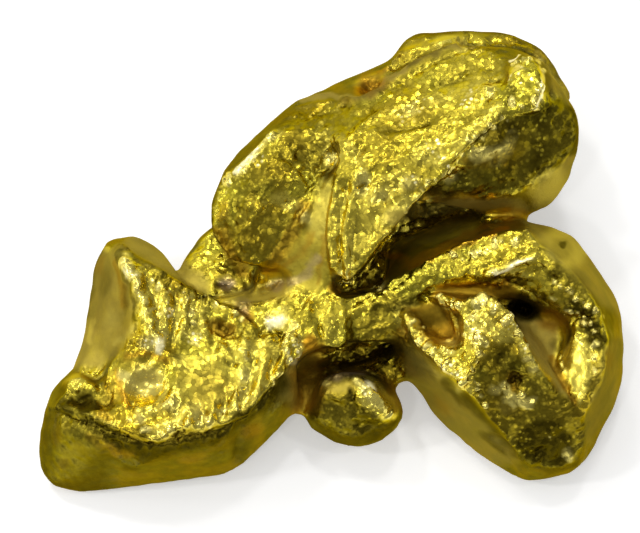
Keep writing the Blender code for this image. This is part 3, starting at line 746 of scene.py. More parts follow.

# Painted shade: dark metal colour on hollows, undercuts, shaded faces and the dark mottles between the crests.
SHADE_AREAS: tuple[Area, ...] = (
    Patch(((6.2, 5.1), (6.8, 5.65), (7.6, 5.9), (8.5, 6.35), (9.4, 6.7), (10.3, 6.0), (10.4, 4.7), (9.4, 3.9),
           (8.0, 3.2), (7.2, 2.9), (5.5, 2.7), (4.0, 2.6), (4.3, 3.1), (5.3, 3.5), (5.8, 4.4)), 0.92, 0.2),
    Patch(((6.75, -3.4), (7.3, -3.3), (7.8, -3.8), (8.35, -4.6), (9.2, -5.1), (10.3, -6.0), (10.5, -7.2),
           (10.1, -8.4), (8.9, -8.8), (8.0, -8.2), (6.9, -6.9), (6.1, -5.9), (5.95, -5.1), (6.1, -4.2)), 0.7, 0.3),
    Blot((8.8, -7.4), (1.7, 1.3), 1.3, -10),
    Blot((-8.9, -3.4), (0.9, 0.8), 0.3),
    Patch(((-1.6, 4.9), (-1.5, 6.2), (0.6, 6.3), (0.8, 5.0)), 0.55, 0.5),
    Blot((-3.2, 3.4), (1.3, 1.2), 0.65, 30),
    Blot((9.8, -1.0), (1.1, 0.7), 0.5, -35),
    Stroke(((-2.6, 0.1), (-1.7, 0.9), (-1.0, 1.7)), 0.4, 0.5),
    Patch(((-9.6, 0.7), (-8.55, 0.2), (-8.1, -1.0), (-7.95, -2.0), (-8.1, -2.9), (-9.5, -2.9), (-10.2, -2.0)), 0.26),
    Patch(((-1.5, 4.5), (0.5, 6.2), (3.0, 7.5), (7.0, 8.6), (7.6, 6.5), (6.5, 5.3), (4.0, 3.2), (0.6, 3.4)), 0.22,
          1.0),
    Patch(((-3.0, -1.8), (-0.6, -1.6), (-0.4, -3.2), (-2.8, -3.3)), 0.28, 0.6),
    Stroke(((2.2, 5.3), (3.4, 5.5), (4.6, 5.8), (5.8, 5.9)), 0.35, 0.45),
    Stroke(((-1.0, 5.3), (-0.6, 4.6), (-0.1, 3.9)), 0.5, 0.5),
    Patch(((3.4, 7.3), (4.6, 8.3), (7.0, 8.6), (7.2, 7.7), (5.0, 7.2)), 0.38, 0.5),
    Patch(((-1.4, 6.3), (0.6, 6.4), (2.4, 6.2), (2.6, 5.5), (0.9, 5.5), (-0.6, 5.9)), 0.42, 0.5),
    Stroke(((-6.45, -3.9), (-6.2, -4.5), (-6.15, -5.2)), 0.2, 0.6),
    Stroke(((-8.6, 0.1), (-8.15, -1.0), (-7.95, -2.4)), 0.16, 0.8),
    Stroke(((-9.6, 0.3), (-9.8, -1.0), (-10.0, -2.2)), 0.3, 0.6),
    Blot((-9.25, -0.9), (0.35, 0.9), 0.5, -8),
    Blot((-8.35, -1.5), (0.2, 0.9), 0.6, -10),
    Blot((9.6, 0.65), (0.22, 0.16), 0.9, 20),
    Stroke(((-5.9, -2.2), (-5.4, -3.0), (-4.9, -3.4)), 0.35, 0.4),
    Blot((-10.9, -5.7), (0.4, 0.7), 0.8, 15),
    Blot((-6.95, -0.95), (0.45, 0.35), 0.8, -20),
    Blot((-8.4, -4.2), (0.4, 0.3), 0.5),
    Blot((-9.95, -5.9), (0.7, 0.6), 1.5),
    Blot((-10.7, -6.0), (0.6, 0.6)),
    Blot((-7.6, -7.0), (0.5, 0.3), 0.8),
    Blot((-1.8, -1.75), (0.45, 0.25), 0.7),
    Blot((5.0, 7.75), (0.5, 0.35), 0.6),
    Blot((4.8, 8.4), (0.4, 0.3), 0.6),
    Blot((8.8, 7.3), (0.25, 0.6), 0.6),
    Blot((9.5, 0.5), (0.6, 0.5), 0.3),
    Blot((10.0, -4.9), (0.35, 0.4), 0.5),
    Blot((6.0, -1.8), (0.4, 0.35), 0.5),
    Blot((-8.9, -6.0), (0.5, 0.4), 0.6),
    Blot((-8.3, -1.2), (0.35, 0.5), 0.5),
    Blot((-5.2, -1.9), (0.3, 0.4), 0.5),
    Blot((-6.0, -1.3), (0.35, 0.3), 0.5),
    Blot((-5.0, -5.0), (0.4, 0.4), 0.6),
    Blot((-5.0, -5.7), (0.3, 0.3), 0.6),
    Blot((-4.2, -6.3), (0.25, 0.4), 0.4),
    Blot((-7.35, -5.4), (0.45, 0.4), 0.45),
    Stroke(((-4.8, -2.4), (-4.0, -3.0), (-3.2, -3.0)), 0.35, 0.5),
    Blot((-2.3, -3.8), (0.3, 0.4), 0.6),
    Blot((-1.7, -1.7), (0.3, 0.3), 0.5),
    Blot((-0.1, -2.5), (0.25, 0.5), 0.4),
    Blot((9.3, -3.4), (0.35, 0.4), 0.6),
    Stroke(((6.2, -6.0), (6.8, -6.6), (7.3, -7.1)), 0.3, 0.6),
    Blot((8.1, -4.2), (0.3, 0.45), 0.5),
    Blot((8.7, -0.4), (0.45, 0.3), 0.5),
    Blot((-1.6, 0.5), (0.3, 0.5), 0.4, 20),
    Blot((-0.5, 3.1), (0.3, 0.5), 0.4),
    Stroke(((2.7, 7.0), (3.5, 7.9), (4.7, 8.5)), 0.25, 0.5),
    Blot((8.5, 3.3), (0.5, 0.3), 0.35),
    Blot((-5.9, -3.5), (0.4, 0.4), 0.5),
    Blot((-3.5, -2.5), (0.4, 0.4), 0.5),
    Blot((-5.0, -0.5), (0.5, 0.5), 0.35),
    Blot((-5.1, -1.9), (0.4, 0.3), 0.4, -30),
    Blot((-2.1, -3.6), (0.4, 0.35), 0.55),
    Blot((-5.1, -5.2), (0.45, 0.8), 0.5),
    Blot((-9.5, -5.5), (0.4, 0.3), 0.5),
    Blot((-7.6, -7.05), (0.35, 0.3)),
    Stroke(((1.9, -2.0), (2.7, -1.85), (3.5, -1.5)), 0.45, 0.95),
    Blot((-0.9, -0.1), (0.9, 0.9), 0.4),
    Stroke(((2.5, -0.9), (5.0, -0.1), (8.0, 0.8)), 0.9, 0.17),
    Patch(((3.1, -2.1), (4.7, -1.7), (4.9, -2.4), (3.9, -2.9)), 0.75),
    Stroke(((4.6, -1.2), (7.4, -1.25)), 0.4, 0.3),
    Blot((1.7, 7.3), (0.6, 0.4), 0.6, 20),
    Stroke(((9.0, -0.9), (10.2, -1.4), (11.0, -2.2)), 0.6, 0.4),
    Stroke(((11.6, -3.4), (11.3, -5.2), (10.7, -7.0)), 0.5, 0.3),
    Stroke(((-0.6, -7.1), (0.9, -7.4), (2.3, -7.0)), 0.45, 0.75),
    Blot((7.2, -4.1), (0.7, 0.9), 0.95, 15),
    Blot((5.3, 0.4), (0.9, 0.3), 0.4, 30),
    Blot((9.2, -0.6), (0.4, 0.7), 0.8),
    Stroke(((9.9, -1.8), (10.5, -2.2), (10.9, -3.3)), 0.5, 1.1),
    Blot((8.2, -4.6), (0.3, 0.6), 0.7, 20),
    Stroke(((0.2, -4.85), (1.0, -4.9), (1.6, -5.2)), 0.25, 0.6),
    Blot((10.8, -4.9), (0.3, 0.6), 0.4),
    Patch(((-4.4, 2.2), (-4.1, 0.6), (-3.2, -0.2), (-1.9, 0.8), (-1.7, 1.8), (-2.8, 2.2)), 0.5, 0.8),
    Blot((-0.6, 4.8), (0.8, 0.5), 0.75, 10),
    Blot((-0.4, 3.1), (0.45, 0.5), 0.5),
    Blot((-1.4, 0.7), (0.5, 0.5), 0.5, 30),
    Blot((-3.65, 2.35), (0.45, 0.45), 0.8),
    Blot((-3.0, 4.2), (0.7, 0.5), 0.6, 40),
    Stroke(((-4.8, 1.2), (-4.7, 2.4), (-4.3, 3.4)), 0.22, 0.5),
    Stroke(((3.3, 9.2), (5.0, 9.35), (7.5, 9.2), (8.8, 8.6), (9.4, 7.6)), 0.25, 0.5),
    Blot((7.1, 5.85), (0.4, 0.25), 0.5),
    Blot((0.1, 3.35), (0.5, 0.3), 0.6, 10),
    Blot((1.15, 0.0), (0.3, 0.5), 0.6),
    Blot((6.0, -1.6), (0.5, 0.3), 0.5, -10),
    Stroke(((-4.7, 1.0), (-4.2, 0.2), (-3.9, -0.8)), 0.25, 0.5),
    Stroke(((2.5, 5.5), (3.4, 5.65), (4.0, 6.05)), 0.35, 0.6),
    Blot((4.9, 7.7), (0.7, 0.4), 0.5, 10),
    Blot((1.7, 6.7), (0.7, 0.3), 0.4, 20),
    Blot((7.45, 6.8), (0.35, 0.6), 0.75),
    Stroke(((8.8, 8.0), (8.95, 7.3), (8.9, 6.6)), 0.22, 0.5),
    Blot((-3.9, 1.1), (0.6, 1.2), 0.6, 15),
    Stroke(((-0.1, -4.3), (1.3, -3.9), (2.8, -3.4)), 0.5, 0.9),
    Stroke(((-1.4, 4.5), (-0.7, 4.0), (-0.2, 3.7)), 0.6, 0.65),
    Stroke(((-10.0, -6.6), (-8.8, -7.3), (-7.3, -7.9), (-6.0, -7.45), (-4.8, -7.25), (-4.0, -6.8), (-3.0, -6.1),
            (-1.9, -4.95)), 0.5),
    Blot((-10.1, -5.85), (0.75, 0.55), 0.95),
    Blot((-10.4, -6.5), (0.8, 0.6), 0.5, 30),
    Patch(((-12.0, -9.5), (-9.2, -9.6), (-8.9, -7.7), (-9.9, -6.8), (-10.8, -6.2), (-12.0, -6.0)), 0.75, 0.8),
    Stroke(((4.8, -5.0), (6.2, -6.25), (7.05, -7.0), (8.0, -8.05)), 0.38, 0.75),
    Stroke(((6.2, -7.1), (6.9, -7.15), (7.9, -8.1), (7.1, -7.85), (6.2, -7.1)), 0.2, 0.6),
    Stroke(((7.5, -1.0), (8.8, -1.3), (9.9, -1.8), (11.3, -2.4)), 0.75, 0.45),
    Stroke(((7.9, -0.95), (8.3, -1.15)), 0.35, 0.5),
    Patch(((7.25, -1.55), (8.5, -1.75), (8.6, -2.4), (7.9, -2.45), (7.25, -1.95)), 1.0, 0.3),
    Patch(((0.6, -2.3), (2.8, -2.2), (3.0, -3.3), (1.4, -3.6), (0.6, -3.4)), 0.6, 0.5),
    Blot((-8.2, -8.5), (0.4, 0.25), 0.6),
    Blot((-3.75, -7.7), (0.45, 0.6), 0.6),
    Patch(((-5.0, -6.9), (-2.8, -6.2), (-3.2, -7.6), (-4.8, -8.0)), 0.4, 0.5),
    Patch(((-0.5, -5.5), (0.9, -5.6), (1.2, -6.3), (1.1, -7.4), (-0.2, -7.2), (-0.8, -6.4)), 0.8, 0.25),
    Patch(((1.1, -5.9), (1.6, -6.1), (2.3, -6.6), (2.8, -6.5), (2.0, -7.4), (1.0, -7.4)), 0.95, 0.25),
    Stroke(((0.85, -5.4), (1.0, -6.0), (1.1, -6.9)), 0.16, 0.95),
    Patch(((-4.6, 3.6), (-3.2, 5.2), (-2.0, 6.2), (-0.5, 6.3), (-0.8, 5.0), (-2.0, 2.8), (-4.2, 2.4)), 0.4, 0.8),
    Stroke(((2.4, -3.6), (2.5, -4.4), (2.0, -5.0)), 0.6, 0.7),
    Blot((6.2, -1.6), (0.4, 0.35), 0.8),
    Blot((-3.1, 4.0), (0.6, 0.35), 0.7, 40),
    Stroke(((0.6, -4.9), (1.2, -5.0), (1.8, -5.2)), 0.25, 0.8),
    Blot((2.2, -2.4), (0.4, 0.4), 0.6),
    Blot((-7.05, -1.2), (0.2, 0.35), 0.7),
    Blot((-2.3, 4.8), (0.3, 0.3), 0.5),
    Stroke(((-5.5, -4.9), (-4.5, -4.9)), 0.3, 0.5),
    Blot((-8.1, -4.0), (0.5, 0.3), 0.5),
    Blot((5.0, 7.7), (0.6, 0.3), 0.5, -10),
    Blot((1.3, 0.9), (0.4, 0.3), 0.5),
    Blot((1.5, 6.4), (0.4, 0.4), 0.5),
)

# Painted light: brighter gold colour on faces and crests, standing in for the light they catch.
PAINTED_LIGHT_AREAS: tuple[Area, ...] = (
    Stroke(((2.3, 1.7), (3.1, 2.3), (3.8, 2.5)), 0.4, 1.2),
    Blot((-6.75, -2.9), (0.35, 0.5), 1.2),
    Blot((9.7, -4.1), (0.3, 0.5)),
    Blot((-7.6, -5.0), (1.1, 1.0), 0.95),
    Stroke(((2.9, 6.1), (4.3, 6.5), (6.6, 7.4)), 0.4, 0.5),
    Blot((4.0, 4.4), (0.9, 0.55), 0.6, 20),
    Stroke(((5.2, 4.6), (6.0, 5.4), (6.9, 6.3)), 0.4, 0.5),
    Blot((2.6, 3.1), (1.0, 0.7), 0.5, 30),
    Stroke(((-0.3, 5.3), (0.5, 4.8), (1.2, 4.2)), 0.45, 0.4),
    Patch(((8.4, 0.9), (9.4, 1.5), (10.7, 0.3), (9.9, -0.4)), 0.9, 0.5),
    Blot((8.9, 3.1), (1.1, 0.8), 0.9, 30),
    Patch(((-7.9, -1.0), (-5.0, -1.9), (-5.0, -3.2), (-7.2, -3.2)), 0.7, 0.5),
    Patch(((0.1, 2.9), (0.1, 0.0), (0.6, -1.0), (1.3, 0.1), (3.0, 2.4), (1.6, 3.4)), 0.4, 0.5),
    Blot((-7.1, -3.4), (0.5, 0.4), 0.9, 30),
    Patch(((-2.7, -2.1), (-1.8, -2.15), (-1.75, -2.75), (-2.6, -2.8)), 1.0, 0.25),
    Stroke(((-8.5, -0.1), (-8.0, -0.8), (-7.7, -1.5), (-7.4, -2.4)), 0.35, 0.9),
    Blot((-9.2, 0.5), (0.25, 0.2), 0.9),
    Blot((-9.0, -2.4), (0.35, 0.5), 0.6),
    Stroke(((-8.9, 0.3), (-8.8, -0.6), (-8.85, -1.4)), 0.15, 0.4),
    Stroke(((-9.7, -2.5), (-9.9, -3.3)), 0.16, 0.9),
    Stroke(((-8.9, -3.4), (-8.4, -3.1), (-8.1, -2.7)), 0.16, 0.9),
    Patch(((-0.9, 1.2), (-0.4, 3.1), (0.1, 3.4), (0.05, 0.6)), 0.8, 0.3),
    Blot((6.05, -2.6), (0.95, 0.8), 0.8),
    Stroke(((3.1, -2.2), (3.8, -3.15), (4.5, -4.2), (5.4, -5.0)), 0.65, 0.95),
    Patch(((10.2, -3.0), (9.4, -3.9), (9.6, -4.6), (10.3, -5.9), (10.75, -4.7), (10.6, -3.3)), 1.0, 0.2),
    Patch(((0.95, -4.85), (1.8, -4.85), (2.9, -5.9), (2.6, -6.5), (1.3, -5.9)), 1.3, 0.2),
    Blot((0.1, -2.9), (0.45, 0.8), 0.3),
    Stroke(((2.4, 0.9), (4.0, 1.1), (5.6, 1.4)), 0.6, 0.6),
    Stroke(((6.6, -0.45), (8.4, 0.2)), 0.2),
    Patch(((-5.9, -3.9), (-3.2, -3.3), (-1.6, -2.9), (-2.3, -4.8), (-4.2, -6.4), (-6.6, -6.7)), 0.4, 0.6),
    Stroke(((4.6, -1.5), (5.5, -1.85), (6.4, -1.7), (7.2, -2.2), (7.6, -2.9), (8.0, -3.7), (8.4, -4.5)), 0.25, 0.8),
    Stroke(((-3.8, 3.5), (-3.1, 4.4), (-2.2, 5.2)), 0.25, 0.9),
    Stroke(((-7.2, -7.2), (-6.3, -6.7), (-5.2, -6.6), (-4.4, -6.3), (-3.4, -5.7), (-2.8, -5.2)), 0.4, 0.95),
    Stroke(((-9.9, -6.5), (-8.8, -6.8)), 0.2, 0.6),
    Stroke(((-4.4, -1.5), (-3.0, -1.45), (-1.8, -1.1)), 0.35, 0.95),
    Blot((0.5, -0.7), (0.5, 0.45), 1.2),
    Stroke(((0.85, 0.9), (0.8, 0.0), (0.7, -0.8)), 0.22, 0.9),
    Blot((-7.6, -1.0), (0.3, 0.5), 1.0, 20),
    Blot((0.25, 4.6), (0.3, 0.3), 0.8),
    Blot((5.0, 3.5), (0.35, 0.35), 0.8),
    Stroke(((4.5, 9.0), (5.3, 9.1), (5.5, 8.5)), 0.3, 0.7),
    Stroke(((8.4, -3.0), (9.2, -3.9), (9.0, -4.5)), 0.2, 0.3),
    Blot((10.65, -2.95), (0.3, 0.35), 0.9),
    Stroke(((-8.2, -4.9), (-7.7, -6.2), (-6.9, -6.1), (-6.1, -5.4), (-5.95, -4.6)), 0.28, 0.7),
    Blot((-3.0, -5.9), (0.4, 0.4), 0.9, 30),
    Blot((-2.7, -1.4), (0.5, 0.3), 0.8),
    Blot((1.9, -1.1), (0.5, 0.3), 0.9, 10),
    Blot((1.3, 3.2), (0.4, 0.6), 0.9, -10),
    Blot((0.1, 4.3), (0.55, 0.55), 0.9, 20),
    Stroke(((-2.2, 2.6), (-1.3, 2.2), (-0.8, 1.6)), 0.35, 0.7),
    Blot((6.6, 7.1), (0.4, 0.7), 0.7),
    Stroke(((-5.9, -1.6), (-5.75, -2.5)), 0.22, 0.9),
    Stroke(((-3.4, -3.3), (-3.45, -4.5)), 0.22, 0.9),
    Stroke(((-6.2, -4.1), (-5.95, -4.9), (-6.4, -5.9)), 0.3, 0.9),
    Blot((-8.15, -4.9), (0.4, 0.4), 0.9),
    Blot((4.95, -3.3), (0.45, 0.7), 0.9, -20),
    Blot((5.0, -1.85), (0.5, 0.3), 0.9, 10),
    Blot((7.0, -3.0), (0.8, 0.4), 0.8, -15),
    Blot((7.6, -0.6), (0.8, 0.35), 0.7, -15),
    Blot((-10.3, -5.0), (0.5, 0.4), 0.5),
    Stroke(((-8.0, 0.5), (-6.5, -0.1), (-5.4, -0.9)), 0.4, 0.4),
    Stroke(((3.1, 2.6), (3.4, 2.2), (3.9, 2.0)), 0.3, 0.8),
    Blot((2.4, 2.9), (0.6, 0.5), 0.7),
    Blot((5.1, 3.4), (0.4, 0.35), 0.8),
    Blot((1.9, -1.0), (0.55, 0.35), 0.9),
    Blot((0.6, -0.75), (0.35, 0.5), 0.7),
    Blot((-6.9, -2.8), (0.4, 0.6), 0.8, 10),
    Blot((9.7, -3.95), (0.25, 0.45), 0.8),
    Blot((4.4, 4.1), (0.45, 0.4), 0.7),
    Blot((2.0, -6.1), (0.6, 0.45), 0.8, -40),
)

# Brown tarnish.
UMBER_AREAS: tuple[Area, ...] = (
    Stroke(((-8.7, -0.2), (-8.5, -1.0), (-8.5, -1.8)), 0.25, 0.6),
    Blot((-9.4, -0.2), (0.25, 0.5), 0.4, -10),
    Stroke(((-9.9, -7.2), (-8.9, -7.7), (-8.2, -7.9)), 0.25, 0.5),
    Blot((-10.9, -8.3), (0.4, 0.3), 0.4, 20),
    Blot((-5.6, -8.1), (0.7, 0.25), 0.4, 10),
    Blot((-11.2, -7.2), (0.25, 0.5), 0.4),
    Blot((10.9, 0.2), (0.5, 0.3), 0.3, -40),
    Blot((11.4, -4.0), (0.25, 0.6), 0.35),
    Blot((4.6, -6.0), (0.6, 0.25), 0.35, -45),
    Blot((-4.45, -2.75), (0.8, 0.45), 1.0, -15),
    Blot((-8.9, -5.4), (0.6, 0.9), 0.5, -20),
    Blot((-9.3, -6.3), (0.7, 0.35), 0.6, -35),
    Stroke(((-4.4, 1.2), (-4.1, 0.4), (-3.6, -0.4)), 0.4, 0.7),
    Stroke(((-2.5, -0.3), (-1.6, 1.0), (-1.0, 2.2)), 0.45, 0.7),
    Patch(((3.0, -1.9), (4.6, -1.6), (5.5, -3.3), (4.1, -3.5)), 1.0, 0.5),
    Blot((9.1, -2.45), (0.75, 0.5), 0.8, -15),
    Stroke(((9.1, -3.9), (9.5, -4.8), (10.1, -5.9)), 0.16, 0.9),
    Blot((0.15, -1.1), (0.35, 0.3), 0.9),
    Stroke(((5.6, 4.1), (6.6, 3.95), (7.6, 4.2)), 0.25, 0.7),
    Blot((7.5, 1.9), (0.9, 0.3), 0.8, 5),
    Patch(((-1.0, -3.2), (-0.2, -3.3), (-0.3, -6.2), (-1.6, -6.4), (-1.5, -4.6)), 0.8),
    Stroke(((2.2, -4.8), (2.7, -5.5), (3.0, -6.1)), 0.3, 0.6),
    Blot((7.5, -5.0), (0.35, 0.6), 0.9, 10),
    Blot((3.0, -3.0), (0.4, 0.7), 0.7, -20),
    Blot((-3.45, -2.25), (0.4, 0.45)),
    Blot((-3.2, -7.0), (0.5, 0.3), 0.6, 30),
    Stroke(((4.6, -1.25), (6.0, -1.2), (7.4, -1.3)), 0.4, 0.9),
    Stroke(((-1.9, -0.2), (-1.1, 0.4), (-0.7, 1.2)), 0.2, 0.6),
    Stroke(((-0.5, -0.9), (-0.3, 0.2), (-0.3, 1.0)), 0.16, 0.5),
)

# Orange tarnish, which is strongest in the pits.
AMBER_AREAS: tuple[Area, ...] = (
    Stroke(((4.6, -1.1), (6.0, -0.95), (7.2, -0.95)), 0.25, 0.6),
    Blot((1.65, 7.2), (0.75, 0.55), 0.6, 20),
    Stroke(((3.3, -0.25), (5.3, 0.6), (7.2, 1.3)), 0.2, 0.6),
    Blot((-0.85, -3.4), (0.35, 0.4), 0.8),
    Blot((2.0, 7.6), (0.6, 0.2), 0.4, 30),
    Blot((1.55, 7.15), (0.55, 0.4), 0.8, 20),
    Blot((-7.7, -5.0), (0.9, 0.8), 0.16),
    Stroke(((-8.7, -4.5), (-8.5, -5.4), (-8.3, -6.0)), 0.16, 0.5),
    Stroke(((-8.3, -3.9), (-7.3, -3.85), (-6.6, -4.2)), 0.14, 0.4),
    Blot((-4.3, 2.0), (0.3, 0.6), 0.3),
    Stroke(((2.2, 0.35), (3.2, 0.0), (4.4, 0.5), (6.4, 1.35)), 0.2, 0.4),
)

# Pale satin skin on the smooth faces; partly painted light, which lifts shaded flanks and undercuts.
TAN_AREAS: tuple[Area, ...] = (
    Patch(((7.8, 1.7), (8.9, 0.25), (10.1, -0.9), (11.1, -1.8), (12.0, -2.3), (11.8, 0.0), (10.0, 2.5)), 0.6, 0.5),
    Patch(((10.8, -5.0), (11.2, -3.4), (12.0, -3.0), (11.8, -5.6), (10.6, -7.6), (10.3, -7.2)), 0.5, 0.5),
    Patch(((8.3, 3.2), (9.4, 4.0), (10.4, 4.7), (10.6, 3.2), (9.4, 1.8), (8.2, 1.9)), 0.6),
    Patch(((9.0, 6.9), (9.9, 6.4), (10.6, 6.6), (10.0, 8.0), (8.6, 9.4), (8.2, 9.0)), 0.5),
    Patch(((-8.6, 0.5), (-7.3, -0.25), (-5.9, -1.1), (-4.9, -1.6), (-4.9, -1.0), (-6.4, 0.5), (-8.0, 1.3)), 0.7),
    Patch(((-9.7, 0.8), (-8.55, 0.2), (-8.1, -1.0), (-7.95, -2.0), (-8.1, -2.9), (-8.6, -3.8), (-9.3, -4.4),
           (-10.7, -4.4), (-10.2, -2.0)), 0.75, 0.5),
    Patch(((3.0, -3.3), (3.6, -3.7), (5.4, -5.5), (6.6, -6.8), (7.9, -8.2), (6.2, -8.6), (3.2, -5.6)), 0.5),
    Patch(((-0.9, 1.2), (-0.4, 3.1), (0.1, 3.4), (0.05, 0.3), (-0.4, -1.3), (-2.6, -1.0), (-1.9, 0.0)), 0.3),
    Stroke(((-1.2, 6.6), (0.0, 6.75), (1.3, 6.6), (2.0, 6.9), (2.3, 7.35), (2.8, 7.7), (3.6, 8.15), (4.5, 8.55),
            (5.4, 8.85)), 0.16, 0.9),
    Blot((7.3, -6.0), (0.6, 0.3), 0.5),
    Blot((0.3, -5.1), (0.9, 0.45), 0.6),
    Patch(((-4.4, -1.9), (-1.6, -1.6), (-1.2, -0.9), (-2.6, -0.9), (-4.2, -1.2)), 0.4),
    Patch(((-2.2, -5.2), (-1.2, -3.9), (-0.5, -3.9), (-0.6, -5.6), (-1.4, -6.3)), 0.5),
    # Painted light: lifts the shaded undercut of the upper crystal.
    Stroke(((2.6, 1.8), (4.0, 2.1), (5.5, 2.3), (7.2, 2.4), (7.9, 2.2)), 0.4, 0.8),
    Patch(((7.6, -2.0), (9.4, -2.6), (9.1, -4.1), (9.9, -5.7), (9.2, -5.2), (8.2, -4.0)), 1.0, 0.3),
)

# Greyish pink round the centre.
LILAC_AREAS: tuple[Area, ...] = (
    Blot((-4.3, -0.95), (0.45, 0.35)),
    Blot((-3.6, -1.9), (0.4, 0.5), 0.5),
    Blot((-2.2, -1.0), (0.5, 0.3), 0.7, 20),
    Stroke(((-1.6, -0.9), (-0.9, -0.5), (-0.5, 0.1)), 0.25, 0.6),
    Blot((0.7, -4.7), (0.9, 0.25), 0.8, 5),
)

# Painted flashes: facets made nearly white and glowing a little, standing in for highlights.
PAINTED_FLASH_AREAS: tuple[Area, ...] = (
    Patch(((-2.65, -2.25), (-1.85, -2.25), (-1.8, -2.7), (-2.55, -2.75)), 0.9, 0.12),
    Blot((-7.0, -3.5), (0.26, 0.4), 1.2, 12),
    Blot((-7.5, -3.3), (0.25, 0.14), 0.8, 20),
    Stroke(((6.8, -0.4), (7.4, -0.2), (8.2, 0.15)), 0.11, 0.9),
    Stroke(((-3.85, 3.6), (-3.4, 4.1), (-2.9, 4.6)), 0.1, 0.8),
    Blot((-3.75, 3.75), (0.2, 0.16), 0.8, 45),
    Stroke(((-8.2, -0.5), (-7.9, -0.9), (-7.75, -1.3)), 0.1, 0.7),
    Stroke(((3.1, 6.0), (3.8, 6.45)), 0.25),
    Stroke(((5.5, 6.3), (6.2, 6.85)), 0.25, 1.1),
    Blot((4.3, 4.9), (0.5, 0.3), 0.8, 30),
    Blot((7.9, 7.4), (0.5, 0.6), 0.8),
    Blot((-2.9, 4.1), (0.35, 0.25), 0.6),
    Blot((-6.6, -2.1), (0.2, 0.5), 0.8),
    Blot((-5.6, -3.2), (0.3, 0.3), 0.8),
    Blot((-1.5, -3.8), (0.3, 0.5), 0.9, -20),
    Blot((5.0, -4.3), (0.3, 0.4), 0.9, 30),
    Blot((6.0, -2.9), (0.4, 0.4), 0.8),
    Blot((1.5, -5.3), (0.3, 0.4), 0.8, 40),
    Stroke(((8.55, 7.3), (8.6, 6.8), (8.35, 6.5)), 0.1, 0.7),
    Stroke(((7.4, 8.2), (7.7, 8.25)), 0.1, 0.6),
    Blot((4.05, 4.6), (0.25, 0.2)),
    Blot((4.65, 4.05), (0.25, 0.3)),
    Blot((3.35, 3.3), (0.3, 0.2), 0.9),
    Blot((5.4, -4.65), (0.13, 0.16), 0.8),
    Blot((6.0, -3.05), (0.16, 0.2), 0.8),
    Blot((7.2, -2.4), (0.13, 0.13), 0.8),
    Blot((7.45, -2.8), (0.13, 0.13), 0.8),
    Blot((7.9, -3.6), (0.12, 0.16), 0.7),
)

# Painted glints: a brighter yellow on beads and facets, standing in for their highlights.
PAINTED_GLINT_AREAS: tuple[Area, ...] = (
    Blot((-5.6, -3.25), (0.16, 0.22), 1.2),
    Blot((-1.25, -3.4), (0.16, 0.2), 1.2),
    Blot((-1.7, -4.1), (0.16, 0.2), 1.2),
    Stroke(((1.2, -4.95), (1.8, -5.5), (2.4, -6.1)), 0.3),
    Blot((-8.4, -4.7), (0.3, 0.25), 1.2),
    Blot((-7.35, -5.0), (0.55, 0.45), 0.7),
    Blot((1.4, 3.3), (0.3, 0.45)),
    Blot((0.6, -0.7), (0.3, 0.4), 1.2),
    *(mark for mark in MARKS if isinstance(mark, BeadRow)),
    Patch(((-2.7, -2.15), (-1.85, -2.2), (-1.8, -2.65), (-2.55, -2.75)), 0.9, 0.2),
    Stroke(((6.7, -0.42), (8.3, 0.15)), 0.12, 0.9),
    Stroke(((-3.75, 3.6), (-3.1, 4.4), (-2.4, 5.05)), 0.14, 0.8),
    Stroke(((-8.15, -0.5), (-7.8, -1.0), (-7.65, -1.6)), 0.14, 0.8),
    Blot((-7.2, -3.3), (0.7, 0.4), 1.0, 25),
    Blot((-8.15, -4.9), (0.35, 0.3), 0.8),
    Blot((-6.6, -5.9), (0.45, 0.3), 0.8, 20),
    Blot((-5.4, -6.35), (0.25, 0.4), 0.8),
    Blot((-3.4, -4.0), (0.2, 0.7), 0.8),
    Blot((-1.35, -3.4), (0.25, 0.4), 0.8),
    Blot((-0.95, 1.8), (0.3, 0.3), 0.6),
    Blot((0.1, 4.2), (0.4, 0.4), 0.8),
    Blot((1.3, 3.2), (0.3, 0.45), 1.0, -10),
    Blot((2.1, 2.7), (0.35, 0.3), 0.7),
    Blot((3.3, 3.2), (0.5, 0.35), 0.6, 30),
    Blot((3.3, 6.3), (0.4, 0.3), 0.6, 10),
    Blot((6.6, 6.9), (0.25, 0.4), 0.6),
    Blot((0.5, -0.7), (0.35, 0.25), 0.8),
    Blot((1.9, -1.1), (0.45, 0.25), 0.9, 10),
    Blot((5.1, -1.85), (0.4, 0.25), 0.8, 10),
    Blot((4.9, -3.5), (0.4, 0.4), 0.6),
    Blot((-8.3, -4.75), (0.4, 0.2), 0.7, -15),
    Blot((-7.6, -5.05), (0.9, 0.85), 0.6),
    Blot((-0.15, -5.0), (0.22, 0.16), 0.8),
    Stroke(((1.25, -5.25), (1.6, -5.6), (2.1, -6.1)), 0.14, 0.7),
    Blot((5.95, -3.15), (0.3, 0.5), 0.7, 10),
    Blot((5.45, -5.0), (0.25, 0.45), 0.6, -30),
    Stroke(((7.1, -5.1), (7.4, -5.5), (7.8, -5.8), (8.3, -5.7)), 0.2, 0.9),
    Blot((6.8, -5.3), (0.3, 0.25), 0.6),
    Stroke(((5.9, 4.4), (6.6, 4.5), (7.2, 4.7), (7.4, 5.1)), 0.28, 0.9),
    Blot((4.95, 3.45), (0.4, 0.4), 0.8),
    Blot((9.7, -4.0), (0.25, 0.6), 1.0, -15),
    Blot((9.75, -7.95), (0.25, 0.2), 0.8),
    Stroke(((8.6, 7.9), (8.7, 7.2), (8.55, 6.6)), 0.12, 0.8),
)

STAINS: dict[Stain, tuple[Area, ...]] = {
    Stain.SHADE: SHADE_AREAS,
    Stain.PAINTED_LIGHT: PAINTED_LIGHT_AREAS,
    Stain.UMBER: UMBER_AREAS,
    Stain.AMBER: AMBER_AREAS,
    Stain.TAN: TAN_AREAS,
    Stain.LILAC: LILAC_AREAS,
    Stain.FLASH: PAINTED_FLASH_AREAS,
    Stain.PAINTED_GLINT: PAINTED_GLINT_AREAS,
}


# --------------------------------------------------------------------------------------------------- the metal


